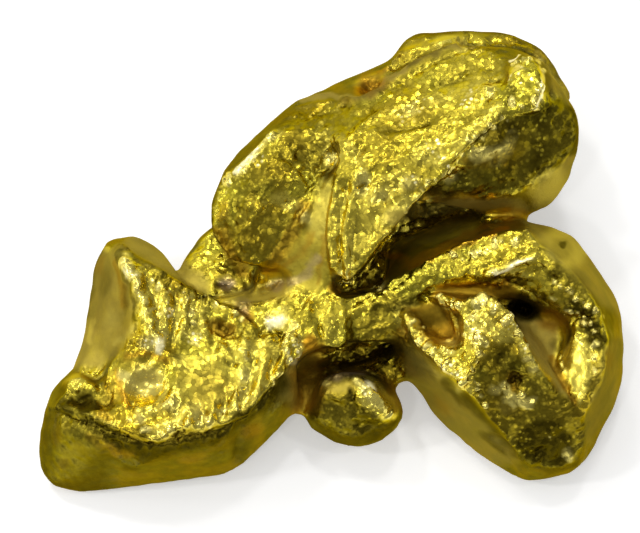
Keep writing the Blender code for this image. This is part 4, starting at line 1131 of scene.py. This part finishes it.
class Shader:
    """Builds the nodes of one material or world."""

    def __init__(self, owner: bpy.types.Material | bpy.types.World) -> None:
        """Starts with no nodes.

        Args:
            owner: The new material or world.
        """
        owner.use_nodes = True
        self.owner = owner
        self.tree = owner.node_tree
        self.tree.nodes.clear()

    def node(self, kind: str, inputs: dict[str | int, object] | None = None, **settings: object) -> bpy.types.Node:
        """Adds a node.

        Args:
            kind: Blender's node type, without "ShaderNode".
            inputs: Values or wires for its sockets, by name or number.
            settings: Properties to set.

        Returns:
            The node.
        """
        made = self.tree.nodes.new(f"ShaderNode{kind}")
        for key, value in settings.items():
            setattr(made, key, value)
        for key, value in (inputs or {}).items():
            if isinstance(value, Wire):
                self.tree.links.new(value.socket, made.inputs[key])
            else:
                made.inputs[key].default_value = value
        return made

    def wire(self, node: bpy.types.Node, output: str | int = 0) -> Wire:
        """One output of a node, ready for sums."""
        return Wire(self, node.outputs[output])

    def attribute(self, name: str) -> Wire:
        """A number stored on the mesh."""
        return self.wire(self.node("Attribute", attribute_name=name), "Fac")

    def vector(self, operation: str, first: Wire, second: Wire | Triple | float, socket: str | int = 1) -> Wire:
        """One step of vector arithmetic, by Blender's name for it, which for a dot product gives a number."""
        made = self.node("VectorMath", {0: first, socket: second}, operation=operation)
        return self.wire(made, "Value" if operation == "DOT_PRODUCT" else 0)

    def mix(self, share: Wire, first: Wire | Colour, second: Wire | Colour) -> Wire:
        """Blends two colours, by how much of the second shows."""
        sockets = {0: share, 6: first, 7: second}
        return self.wire(self.node("Mix", sockets, data_type="RGBA", clamp_factor=True), 2)


@dataclass(frozen=True)
class Wire:
    """A number socket, which can be used in sums."""

    shader: Shader
    socket: bpy.types.NodeSocket

    def _math(self, operation: str, first: Wire | float, second: Wire | float, clamp: bool = False) -> Wire:
        """Adds one Math node."""
        return self.shader.wire(self.shader.node("Math", {0: first, 1: second}, operation=operation, use_clamp=clamp))

    def __add__(self, other: Wire | float) -> Wire:
        """Sum."""
        return self._math("ADD", self, other)

    __radd__ = __add__

    def __sub__(self, other: Wire | float) -> Wire:
        """Difference."""
        return self._math("SUBTRACT", self, other)

    def __rsub__(self, other: float) -> Wire:
        """Difference from a plain number."""
        return self._math("SUBTRACT", other, self)

    def __mul__(self, other: Wire | float) -> Wire:
        """Product."""
        return self._math("MULTIPLY", self, other)

    __rmul__ = __mul__

    def clamped(self) -> Wire:
        """Held between 0 and 1."""
        return self._math("ADD", self, 0.0, clamp=True)

    def between(self, low: float, high: float) -> Wire:
        """Rises smoothly from 0 at low to 1 at high."""
        ends = {"Value": self, "From Min": low, "From Max": high}
        return self.shader.wire(self.shader.node("MapRange", ends, interpolation_type="SMOOTHSTEP"))


# Painted shade colour: nearly black olive-brown, for hollows, undercuts and shaded faces.
PAINTED_SHADE_COLOUR = (0.066, 0.049, 0.004, 1.0)


@dataclass(frozen=True)
class Cloud:
    """A cloudy noise: cells to the metre, octaves, and a shift of the pattern in cells."""

    scale: float
    detail: float
    shift: Triple = (0.0, 0.0, 0.0)

    def wire(self, s: Shader, coords: Wire) -> Wire:
        """Adds the noise to a material, given its object coordinates: values of about 0.2 to 0.8."""
        place = s.wire(s.node("Mapping", {"Vector": coords, "Location": self.shift}))
        return s.wire(s.node("TexNoise", {"Vector": place, "Scale": self.scale, "Detail": self.detail}))


@dataclass(frozen=True)
class Crystals:
    """Tiny crystals, one to a cell: about half get a painted glint, and each has a flat facet of its own slope.

    Scale is in cells to the metre. The other fields are the ends between which the distance from the crystal's middle
    takes the painted glint off or turns to pit, and its random number gives the painted glint.
    """

    scale: float = 5200.0
    lit: Pair = (0.5, 0.2)
    drawn: Pair = (0.45, 0.6)
    pit: Pair = (0.52, 0.75)

    def wires(self, s: Shader, coords: Wire) -> tuple[Wire, Wire, Wire]:
        """Adds the crystals to a material.

        Args:
            s: The material in the making.
            coords: Object coordinates.

        Returns:
            1 in the middle of a crystal with a painted glint and 0 off it, 1 in the pits between crystals, and facet
            heights of about -0.5 to 0.5.
        """
        place = s.vector("SCALE", coords, self.scale, "Scale")
        cell = s.node("TexVoronoi", {"Vector": place, "Scale": 1.0}, feature="F1")
        far, colour = s.wire(cell, "Distance"), s.wire(cell, "Color")
        draw = s.wire(s.node("SeparateColor", {"Color": colour}), "Green")
        slope = s.vector("SUBTRACT", colour, (0.5, 0.5, 0.5))
        way = s.vector("SUBTRACT", place, s.wire(cell, "Position"))
        dot = far.between(*self.lit) * draw.between(*self.drawn)
        return dot, far.between(*self.pit), s.vector("DOT_PRODUCT", way, slope)


@dataclass(frozen=True)
class NativeGold:
    """Greenish-yellow natural gold, sparkling where it is hammered, satin on the flanks, darker in the hollows.

    Its colour carries painted light and shade as well: painted shade on the flanks, hollows and shaded faces,
    and painted light, painted glints and glowing painted flashes where light falls.

    The palette gives each stain's full strength and colour, and the polish says how much a full stain adds to the
    roughness. Ends are the values of a noise or a zone between which something sets in, and the other numbers say how
    much of it there is at most.
    """

    bright: Colour = (0.64, 0.51, 0.042, 1.0)
    deep: Colour = (0.47, 0.335, 0.020, 1.0)
    green: Colour = (0.42, 0.38, 0.030, 1.0)
    # Olive and russet: colours of the flanks' painted shade.
    olive: Colour = (0.135, 0.112, 0.018, 1.0)
    russet: Colour = (0.21, 0.145, 0.016, 1.0)
    grazing: Colour = (0.85, 0.70, 0.15, 1.0)
    unlit: Colour = (0.0, 0.0, 0.0, 1.0)
    painted_glow: Colour = (1.0, 0.92, 0.55, 1.0)
    palette: tuple[tuple[Stain, float, Colour], ...] = (
        (Stain.PAINTED_LIGHT, 0.8, (0.86, 0.71, 0.105, 1.0)),
        (Stain.TAN, 0.9, (0.44, 0.34, 0.065, 1.0)),
        (Stain.AMBER, 1.0, (0.62, 0.27, 0.012, 1.0)),
        (Stain.UMBER, 0.9, (0.42, 0.23, 0.014, 1.0)),
        (Stain.LILAC, 0.8, (0.42, 0.30, 0.19, 1.0)),
        (Stain.SHADE, 0.95, PAINTED_SHADE_COLOUR),
        (Stain.PAINTED_GLINT, 0.75, (0.98, 0.83, 0.21, 1.0)),
        (Stain.FLASH, 1.0, (1.0, 0.93, 0.52, 1.0)),
    )
    polish: tuple[tuple[Stain, float], ...] = (
        (Stain.UMBER, 0.18),
        (Stain.TAN, 0.40),
        (Stain.SHADE, 0.08),
        (Stain.PAINTED_GLINT, -0.05),
    )
    tone: Cloud = Cloud(260.0, 3.0)
    speck: Cloud = Cloud(2600.0, 2.0)
    tinge: Cloud = Cloud(420.0, 2.0, (3.1, 0.0, 7.7))
    mottle: Cloud = Cloud(900.0, 4.0, (1.0, 6.0, 2.0))
    pores: Cloud = Cloud(3800.0, 3.0, (9.0, 1.0, 2.0))
    crystals: Crystals = Crystals()
    deep_ends: Pair = (0.40, 0.62)
    green_ends: Pair = (0.50, 0.68)
    green_most: float = 0.6
    russet_ends: Pair = (0.40, 0.62)
    flank_shade_most: float = 0.95
    flank_shade_speckle: float = 0.3
    lit_ends: Pair = (0.38, 0.56)
    lit_pale: float = 0.34
    lit_clears: float = 0.5
    groove_ends: Pair = (0.15, 1.2)
    groove_tarnish_and_shade: float = 0.4
    pit_tarnish_and_shade: float = 0.15
    roughness: float = 0.30
    speck_rough: float = 0.12
    flank_rough: float = 0.14
    sparkle_polish: float = 0.05
    relief: float = 0.000062
    facet_least: float = 0.05
    facet_more: float = 0.95
    pore_height: float = 0.08
    flash_clearance: float = 0.6
    painted_glow_strength: float = 0.4

    def build(self) -> bpy.types.Material:
        """Makes the material: the colour of the metal, the stains over it, its polish and its finest relief.

        The stains include painted shade, painted light, painted glints and painted flashes.

        Returns:
            The material.
        """
        s = Shader(bpy.data.materials.new(SLOT))
        coords = s.wire(s.node("TexCoord"), "Object")
        sparkle, flank, cavity = (s.attribute(zone) for zone in ("sparkle", "flank", "cavity"))
        stain = {kind: s.attribute(kind.value) for kind in Stain}
        speck, mottle = self.speck.wire(s, coords), self.mottle.wire(s, coords)
        dot, pit, facet = self.crystals.wires(s, coords)
        # Painted glints: the shining crystal dots lift the colour towards the painted light and clear the painted
        # shade.
        lit = dot * sparkle * (1.0 - flank) * mottle.between(*self.lit_ends)
        on_dots = 1.0 - sparkle * (1.0 - dot)

        colour = s.mix(self.tone.wire(s, coords).between(*self.deep_ends), self.bright, self.deep)
        tinge = self.tinge.wire(s, coords).between(*self.green_ends)
        colour = s.mix((tinge * self.green_most).clamped(), colour, self.green)
        # Painted shade: the flanks, which turn from the eye, get a darker olive to russet colour.
        flank_shade = s.mix(mottle.between(*self.russet_ends), self.olive, self.russet)
        colour = s.mix((flank * self.flank_shade_most + (speck - 0.5) * self.flank_shade_speckle).clamped(), colour, flank_shade)
        for kind, most, paint in self.palette:
            share = stain[kind] * ((0.5 + speck * 0.5 + mottle * 0.5) * most)
            if kind is Stain.PAINTED_LIGHT:
                share = share + lit * (1.0 - stain[Stain.SHADE]) * self.lit_pale
            if kind is Stain.SHADE:
                share = share * (1.0 - lit * self.lit_clears)
            if kind is Stain.FLASH:
                share = share * on_dots
            colour = s.mix(share.clamped(), colour, paint)
        # Hollows, grooves and pits darken towards the painted shade colour: partly tarnish, partly painted shade.
        hollow = cavity.between(*self.groove_ends) * self.groove_tarnish_and_shade + pit * sparkle * self.pit_tarnish_and_shade
        colour = s.mix(hollow.clamped(), colour, PAINTED_SHADE_COLOUR)

        # Painted flashes: less metallic and glowing a little, standing in for highlights.
        flash = stain[Stain.FLASH] * on_dots
        rough = self.roughness + (speck - 0.5) * self.speck_rough + flank * self.flank_rough
        rough = rough - sparkle * self.sparkle_polish
        for kind, more in self.polish:
            rough = rough + stain[kind] * more
        height = facet * (sparkle * self.facet_more + self.facet_least)
        height = height + self.pores.wire(s, coords) * self.pore_height
        skin = {
            "Base Color": colour,
            "Metallic": (1.0 - flash * self.flash_clearance).clamped(),
            "Emission Color": s.mix(flash.clamped(), self.unlit, self.painted_glow),
            "Emission Strength": self.painted_glow_strength,
            "Specular Tint": self.grazing,
            "Roughness": rough.clamped(),
            "Normal": s.wire(s.node("Bump", {"Strength": 1.0, "Distance": self.relief, "Height": height})),
        }
        s.node("OutputMaterial", {"Surface": s.wire(s.node("BsdfPrincipled", skin))})
        return s.owner


# ----------------------------------------------------------------------------------------------- the specimen


@dataclass(frozen=True)
class Fringe:
    """Waves that fray the edges of stains: how far, the size of a wave, and the seeds for the two coordinates."""

    depth: float = 0.12
    size: float = 0.5
    seeds: tuple[int, int] = (41, 42)

    def frayed(self, at: Spots) -> Spots:
        """Moves places on the show face a little, by the depth times the waves.

        Args:
            at: The places.

        Returns:
            The places after the move.
        """
        flat = np.stack([at.u, at.v, np.zeros_like(at.u)], axis=1) / self.size
        first, second = (self.depth * Lattice(seed).waves(flat) for seed in self.seeds)
        return Spots(at.u + first, at.v + second)


@dataclass
class GoldSpecimen:
    """The one mass of gold: the rough body, worked over with marks, grain and beads.

    Lengths are in millimetres. Pairs are the ends between which something fades in or out.
    """

    voxel: float = 0.066
    triangles: int = 192000
    soften_passes: int = 14
    underside: Pair = (0.25, -0.25)
    thinned_least: float = 0.02
    thinned_more: float = 0.95
    feet: Pair = (0.02, 0.25)
    lid_depth: float = 0.25
    lid_give: float = 0.4
    marks_seen: Pair = (0.1, 0.4)
    stains_seen: Pair = (-0.1, 0.2)
    hammered: Pair = (0.35, 0.62)
    drift_share: float = 0.12
    flank_shade: Pair = (0.68, 0.46)
    flank_passes: int = 12
    cavity_passes: int = 60
    cavity_depth: float = 0.12
    smoothing: float = 0.85
    smooth_seen: Pair = (0.0, 0.3)
    west_end: Pair = (-1.0, -3.0)
    west_top: Pair = (0.5, -1.0)
    upper_part: Pair = (-0.5, 1.5)
    swell: Grain = Grain(1.9, 31)
    ripple: Grain = Grain(0.7, 35)
    drift: Grain = Grain(2.6, 11)
    west_streaks: Grain = Grain(0.42, 21, 4.5, 72.0)
    upper_streaks: Grain = Grain(0.5, 22, 2.0, 50.0)
    east_streaks: Grain = Grain(0.5, 23, 1.5, 25.0)
    bands: Grain = Grain(1.0, 36, 2.0, 48.0)
    sheets: Grain = Grain(1.2, 32, 1.4, 40.0)
    chips: Grain = Grain(0.36, 33, 1.4, 50.0)
    beads: Grain = Grain(0.30, 34, 1.3, 55.0)
    swell_height: float = 0.05
    ripple_height: float = 0.03
    streak_height: float = 0.07
    west_gain: float = 1.7
    band_height: float = 0.07
    sheet_height: float = 0.04
    sheet_more: float = 0.045
    chip_height: float = 0.04
    bead_height: float = 0.04
    fringe: Fringe = Fringe()

    def build(self) -> bpy.types.Object:
        """Makes the skin, with its stains, painted light and painted shade stored on it, and dresses it.

        Returns:
            The finished piece.
        """
        piece = self.fine_copy()
        mesh = piece.data
        edges = self.edges(mesh)
        points = self.relaxed(self.positions(mesh), edges, self.soften_passes)
        self.put(mesh, points)
        plain_normals = self.vertex_normals(mesh)
        facing = FACE.facing(points, plain_normals)
        at = FACE.lay(points)

        points = points + plain_normals * self.marked(points, facing, at)[:, None]
        self.put(mesh, points)
        normals = self.vertex_normals(mesh)
        sparkle = self.sparkle(points, normals, at)
        points = points + normals * self.grained(points, sparkle, at)[:, None]
        points[:, 2] = self.lidded(np.maximum(points[:, 2], 0.0))
        self.put(mesh, points)

        self.store(mesh, "sparkle", sparkle)
        self.store(mesh, "flank", self.flank(points, plain_normals, edges))
        self.store(mesh, "cavity", self.cavity(points, edges, normals))
        for stain, areas in STAINS.items():
            self.store(mesh, stain.value, self.stained(areas, at) * smoothstep(*self.stains_seen, facing))
        mesh.materials.clear()
        mesh.materials.append(NativeGold().build())
        mesh.polygons.foreach_set("use_smooth", np.ones(len(mesh.polygons), dtype=bool))
        mesh.update()
        return piece

    def fine_copy(self) -> bpy.types.Object:
        """Copies the CAD solid, remeshes it finely and thins it out, mostly on the underside.

        Returns:
            The new object, at the origin.
        """
        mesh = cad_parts[NODE].data.copy()
        bm = bmesh.new()
        bm.from_mesh(mesh)
        bmesh.ops.remove_doubles(bm, verts=bm.verts, dist=1e-7)
        bm.to_mesh(mesh)
        bm.free()
        piece = bpy.data.objects.new("gold_skin", mesh)
        bpy.context.scene.collection.objects.link(piece)
        remesh = piece.modifiers.new("fine", "REMESH")
        remesh.mode = "VOXEL"
        remesh.voxel_size = self.voxel * MM
        piece.data = self.baked(piece)
        under = smoothstep(*self.underside, self.vertex_normals(piece.data)[:, 2])
        levels = np.round(under * self.thinned_more + self.thinned_least, 2)
        group = piece.vertex_groups.new(name="under")
        for level in np.unique(levels):
            group.add(np.flatnonzero(levels == level).tolist(), float(level), "REPLACE")
        piece.data.calc_loop_triangles()
        thin = piece.modifiers.new("thin", "DECIMATE")
        thin.ratio = min(self.triangles / len(piece.data.loop_triangles), 1.0)
        thin.vertex_group = group.name
        thin.vertex_group_factor = 100.0
        piece.data = self.baked(piece)
        piece.vertex_groups.clear()
        return piece

    @staticmethod
    def baked(piece: bpy.types.Object) -> bpy.types.Mesh:
        """The mesh with the modifiers applied, which are then removed.

        Args:
            piece: The object.

        Returns:
            The new mesh.
        """
        graph = bpy.context.evaluated_depsgraph_get()
        mesh = bpy.data.meshes.new_from_object(piece.evaluated_get(graph))
        piece.modifiers.clear()
        return mesh

    @staticmethod
    def read(rows: bpy.types.bpy_prop_collection, name: str, width: int, kind: type = float) -> Array:
        """One property of every vertex or edge.

        Args:
            rows: The mesh's vertices or edges.
            name: The property.
            width: Numbers in it.
            kind: Their type.

        Returns:
            N rows of that width.
        """
        flat = np.empty(len(rows) * width, dtype=kind)
        rows.foreach_get(name, flat)
        return flat.reshape(-1, width)

    def positions(self, mesh: bpy.types.Mesh) -> Array:
        """Vertex positions in millimetres."""
        return self.read(mesh.vertices, "co", 3) / MM

    def vertex_normals(self, mesh: bpy.types.Mesh) -> Array:
        """Unit normal at each vertex."""
        return self.read(mesh.vertices, "normal", 3)

    def edges(self, mesh: bpy.types.Mesh) -> Array:
        """Vertex pairs of the edges."""
        return self.read(mesh.edges, "vertices", 2, np.int32)

    @staticmethod
    def put(mesh: bpy.types.Mesh, points: Array) -> None:
        """Writes positions given in millimetres."""
        mesh.vertices.foreach_set("co", (points * MM).ravel())
        mesh.update()

    @staticmethod
    def store(mesh: bpy.types.Mesh, name: str, values: Array) -> None:
        """Stores one number a vertex for the material."""
        made = mesh.attributes.new(name, "FLOAT", "POINT")
        made.data.foreach_set("value", values.astype(np.float32))

    @staticmethod
    def relaxed(values: Array, edges: Array, passes: int) -> Array:
        """Moves each value halfway to the mean of its neighbours, over and over.

        Args:
            values: N rows.
            edges: Vertex pairs.
            passes: Number of rounds.

        Returns:
            The smoothed rows.
        """
        first, second = edges.T
        count = np.bincount(first, minlength=len(values)) + np.bincount(second, minlength=len(values))
        smooth = values.copy()
        for _ in range(passes):
            total = np.empty_like(smooth)
            for axis in range(smooth.shape[1]):
                column = smooth[:, axis]
                total[:, axis] = np.bincount(first, column[second], len(values))
                total[:, axis] += np.bincount(second, column[first], len(values))
            smooth = 0.5 * smooth + 0.5 * total / count[:, None]
        return smooth

    def marked(self, points: Array, facing: Array, at: Spots) -> Array:
        """Sums the crests, ledges, dishes and beads, where the surface faces the eye.

        Args:
            points: Positions in millimetres.
            facing: Cosines to the eye.
            at: Places on the show face.

        Returns:
            Heights along the normals, in millimetres.
        """
        relief = np.zeros(len(points))
        for mark in MARKS:
            relief += mark.relief(at)
        return relief * smoothstep(*self.marks_seen, facing) * self.free(points)

    def lidded(self, heights: Array) -> Array:
        """Presses the topmost grains down, so that the skin stays in the solid's height: above the lid a rise of h
        becomes give * tanh(h / give).

        Args:
            heights: Heights in millimetres.

        Returns:
            The new heights.
        """
        lid = CAD_BOX[1][2] / MM - self.lid_depth
        over = np.maximum(heights - lid, 0.0)
        return np.minimum(heights, lid) + self.lid_give * np.tanh(over / self.lid_give)

    def free(self, points: Array) -> Array:
        """0 on the flat feet, and 1 above them."""
        return smoothstep(*self.feet, points[:, 2])

    def sparkle(self, points: Array, normals: Array, at: Spots) -> Array:
        """Where the skin is hammered: on upper faces, broken up by slow waves, and not in the smooth zones.

        Args:
            points: Positions in millimetres.
            normals: Unit normals.
            at: Places on the show face.

        Returns:
            0 for smooth skin, 1 for hammered skin.
        """
        facing = FACE.facing(points, normals)
        share = smoothstep(*self.hammered, facing + self.drift_share * self.drift.waved(points))
        smooth = np.zeros(len(points))
        for area in SMOOTH_AREAS:
            smooth = np.maximum(smooth, area.share(at))
        return share * (1.0 - self.smoothing * smooth * smoothstep(*self.smooth_seen, facing))

    def grained(self, points: Array, sparkle: Array, at: Spots) -> Array:
        """Sums crumpled streaks, flat facets, beads and slow waves; the west lobe is more streaked than the rest.

        Args:
            points: Positions in millimetres.
            sparkle: How hammered the skin is.
            at: Places on the show face.

        Returns:
            Heights along the normals, in millimetres.
        """
        west = smoothstep(*self.west_end, at.u) * smoothstep(*self.west_top, at.v)
        upper = smoothstep(*self.upper_part, at.v)
        rest = 1.0 - west
        streaks = west * self.west_gain * self.west_streaks.crumpled(points)
        streaks += upper * self.upper_streaks.crumpled(points)
        streaks += rest * (1.0 - upper) * self.east_streaks.crumpled(points)
        hammered = self.streak_height * streaks + self.band_height * rest * self.bands.crumpled(points, 1)
        hammered += self.bead_height * self.beads.beaded(points)
        hammered += (self.sheet_height + self.sheet_more * rest) * self.sheets.faceted(points)
        hammered += self.chip_height * (1.0 + rest) * self.chips.faceted(points)
        plain = self.ripple_height * self.ripple.waved(points)
        swell = self.swell_height * (1.0 + rest) * self.swell.waved(points)
        return (swell + sparkle * hammered + (1.0 - sparkle) * plain) * self.free(points)

    def flank(self, points: Array, normals: Array, edges: Array) -> Array:
        """How much a point belongs to the flanks, which turn from the eye and get painted shade: 0 to 1."""
        return smoothstep(*self.flank_shade, FACE.facing(points, self.relaxed(normals, edges, self.flank_passes)))

    def stained(self, areas: Sequence[Area], at: Spots) -> Array:
        """The strongest of the stains at each point, with edges frayed by fine waves, except on beads.

        Args:
            areas: Where the stain lies.
            at: Places on the show face.

        Returns:
            0 for clean metal, 1 for the full stain.
        """
        frayed = self.fringe.frayed(at)
        share = np.zeros(len(at.u))
        for area in areas:
            share = np.maximum(share, area.share(at if isinstance(area, BeadRow) else frayed))
        return share

    def cavity(self, points: Array, edges: Array, normals: Array) -> Array:
        """Depth below the surroundings, -1 to 1: the smoothed surface minus the point, along the normal."""
        below = self.relaxed(points, edges, self.cavity_passes) - points
        return np.einsum("ij,ij->i", below, normals) / self.cavity_depth


# -------------------------------------------------------------------------------------------------- the studio


@dataclass(frozen=True)
class Softbox:
    """An area light far off: where it stands and how wide it looks, in degrees, and how bright its face is."""

    name: str
    azimuth: float
    elevation: float
    width: float
    height: float
    radiance: float
    distance: float = 0.9

    def build(self) -> bpy.types.Object:
        """Places the light so that it faces the specimen.

        Returns:
            The light's object.
        """
        way = Vector(heading(self.azimuth, self.elevation))
        light = bpy.data.lights.new(self.name, "AREA")
        light.shape = "RECTANGLE"
        light.size, light.size_y = (
            2.0 * self.distance * math.tan(math.radians(angle / 2)) for angle in (self.width, self.height)
        )
        light.energy = self.radiance * math.pi * light.size * light.size_y
        lamp = bpy.data.objects.new(self.name, light)
        lamp.location = way * self.distance
        lamp.rotation_mode = "QUATERNION"
        lamp.rotation_quaternion = way.to_track_quat("Z", "Y")
        bpy.context.scene.collection.objects.link(lamp)
        return lamp


@dataclass
class Studio:
    """Pale floor, soft lights, dim room and the camera."""

    floor_radius: float = 3.0
    floor_drop: float = 0.01 * MM
    paper: Colour = (0.93, 0.93, 0.925, 1.0)
    white: Colour = (1.0, 1.0, 1.0, 1.0)
    glow: float = 0.36
    room: float = 0.30
    window: float = 0.50
    window_place: Pair = (-50.0, 40.0)
    dusk: float = 0.05
    dawn: float = 1.0
    lights: tuple[Softbox, ...] = (
        Softbox("glint_north_west", -40.0, 55.0, 6.0, 6.0, 42.0),
        Softbox("glint_north", 8.0, 66.0, 5.0, 5.0, 43.0),
        Softbox("glint_north_low", -10.0, 34.0, 6.0, 5.0, 38.0),
        Softbox("glint_west", -95.0, 48.0, 5.0, 6.0, 42.0),
        Softbox("glint_west_low", -85.0, 16.0, 5.0, 5.0, 33.0),
        Softbox("glint_south_west", -150.0, 62.0, 4.0, 4.0, 43.0),
        Softbox("glint_east", 100.0, 62.0, 4.0, 4.0, 33.0),
    )

    def build(self) -> None:
        """Makes everything round the specimen."""
        self.floor()
        for light in self.lights:
            light.build()
        self.world()
        self.camera()
        bpy.context.scene.view_settings.view_transform = "Standard"

    def floor(self) -> None:
        """A wide disc, just under the specimen: circles of growing radius, closed to a middle point."""
        turns, rings = 96, 6
        angle = np.linspace(0.0, 2.0 * np.pi, turns, endpoint=False)
        radius = self.floor_radius * (np.arange(1, rings + 1) / rings) ** 2
        x, y = np.outer(radius, np.cos(angle)).ravel(), np.outer(radius, np.sin(angle)).ravel()
        points = np.stack([np.append(x, 0.0), np.append(y, 0.0), np.full(len(x) + 1, -self.floor_drop)], axis=1)
        column, row = np.meshgrid(np.arange(turns), np.arange(rings - 1))
        near, near_next = row * turns + column, row * turns + (column + 1) % turns
        quads = np.stack([near, near + turns, near_next + turns, near_next], axis=-1).reshape(-1, 4)
        steps = np.arange(turns)
        fans = np.stack([np.full(turns, len(x)), steps, (steps + 1) % turns], axis=1)
        mesh = bpy.data.meshes.new("floor")
        mesh.from_pydata(points.tolist(), [], quads.tolist() + fans.tolist())
        mesh.update()
        floor = bpy.data.objects.new("floor", mesh)
        bpy.context.scene.collection.objects.link(floor)
        mesh.materials.append(self.pale_paper())

    def pale_paper(self) -> bpy.types.Material:
        """The floor's material, which glows a little so that it stays pale.

        Returns:
            The material.
        """
        s = Shader(bpy.data.materials.new("pale_paper"))
        paper = {
            "Base Color": self.paper,
            "Roughness": 0.9,
            "Specular IOR Level": 0.1,
            "Emission Color": self.white,
            "Emission Strength": self.glow,
        }
        s.node("OutputMaterial", {"Surface": s.wire(s.node("BsdfPrincipled", paper))})
        return s.owner

    def world(self) -> None:
        """A dim room that brightens smoothly towards the wide window light."""
        s = Shader(bpy.data.worlds.new("room"))
        way = s.wire(s.node("TexCoord"), "Generated")
        toward = s.vector("DOT_PRODUCT", way, heading(*self.window_place))
        light = self.room + self.window * toward.between(self.dusk, self.dawn)
        back = s.node("Background", {"Color": self.white, "Strength": light})
        s.node("OutputWorld", {"Surface": s.wire(back)})
        bpy.context.scene.world = s.owner

    def camera(self) -> None:
        """A long lens over the show face."""
        camera = bpy.data.cameras.new("camera")
        camera.lens = FACE.lens
        camera.sensor_width = FACE.sensor
        camera.clip_start, camera.clip_end = 0.01, 20.0
        eye = bpy.data.objects.new("camera", camera)
        eye.location = Vector(FACE.eye * MM)
        eye.rotation_euler = (math.pi / 2 - FACE.elevation, 0.0, 0.0)
        bpy.context.scene.collection.objects.link(eye)
        bpy.context.scene.camera = eye


def main() -> None:
    """Builds the specimen, then the studio."""
    logging.basicConfig(level=logging.INFO, format="%(name)s: %(message)s")
    skin = GoldSpecimen().build()
    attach(skin, "root")
    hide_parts(NODE)
    LOG.info("%s: %d faces", skin.name, len(skin.data.polygons))
    Studio().build()


if __name__ == "__main__":
    main()
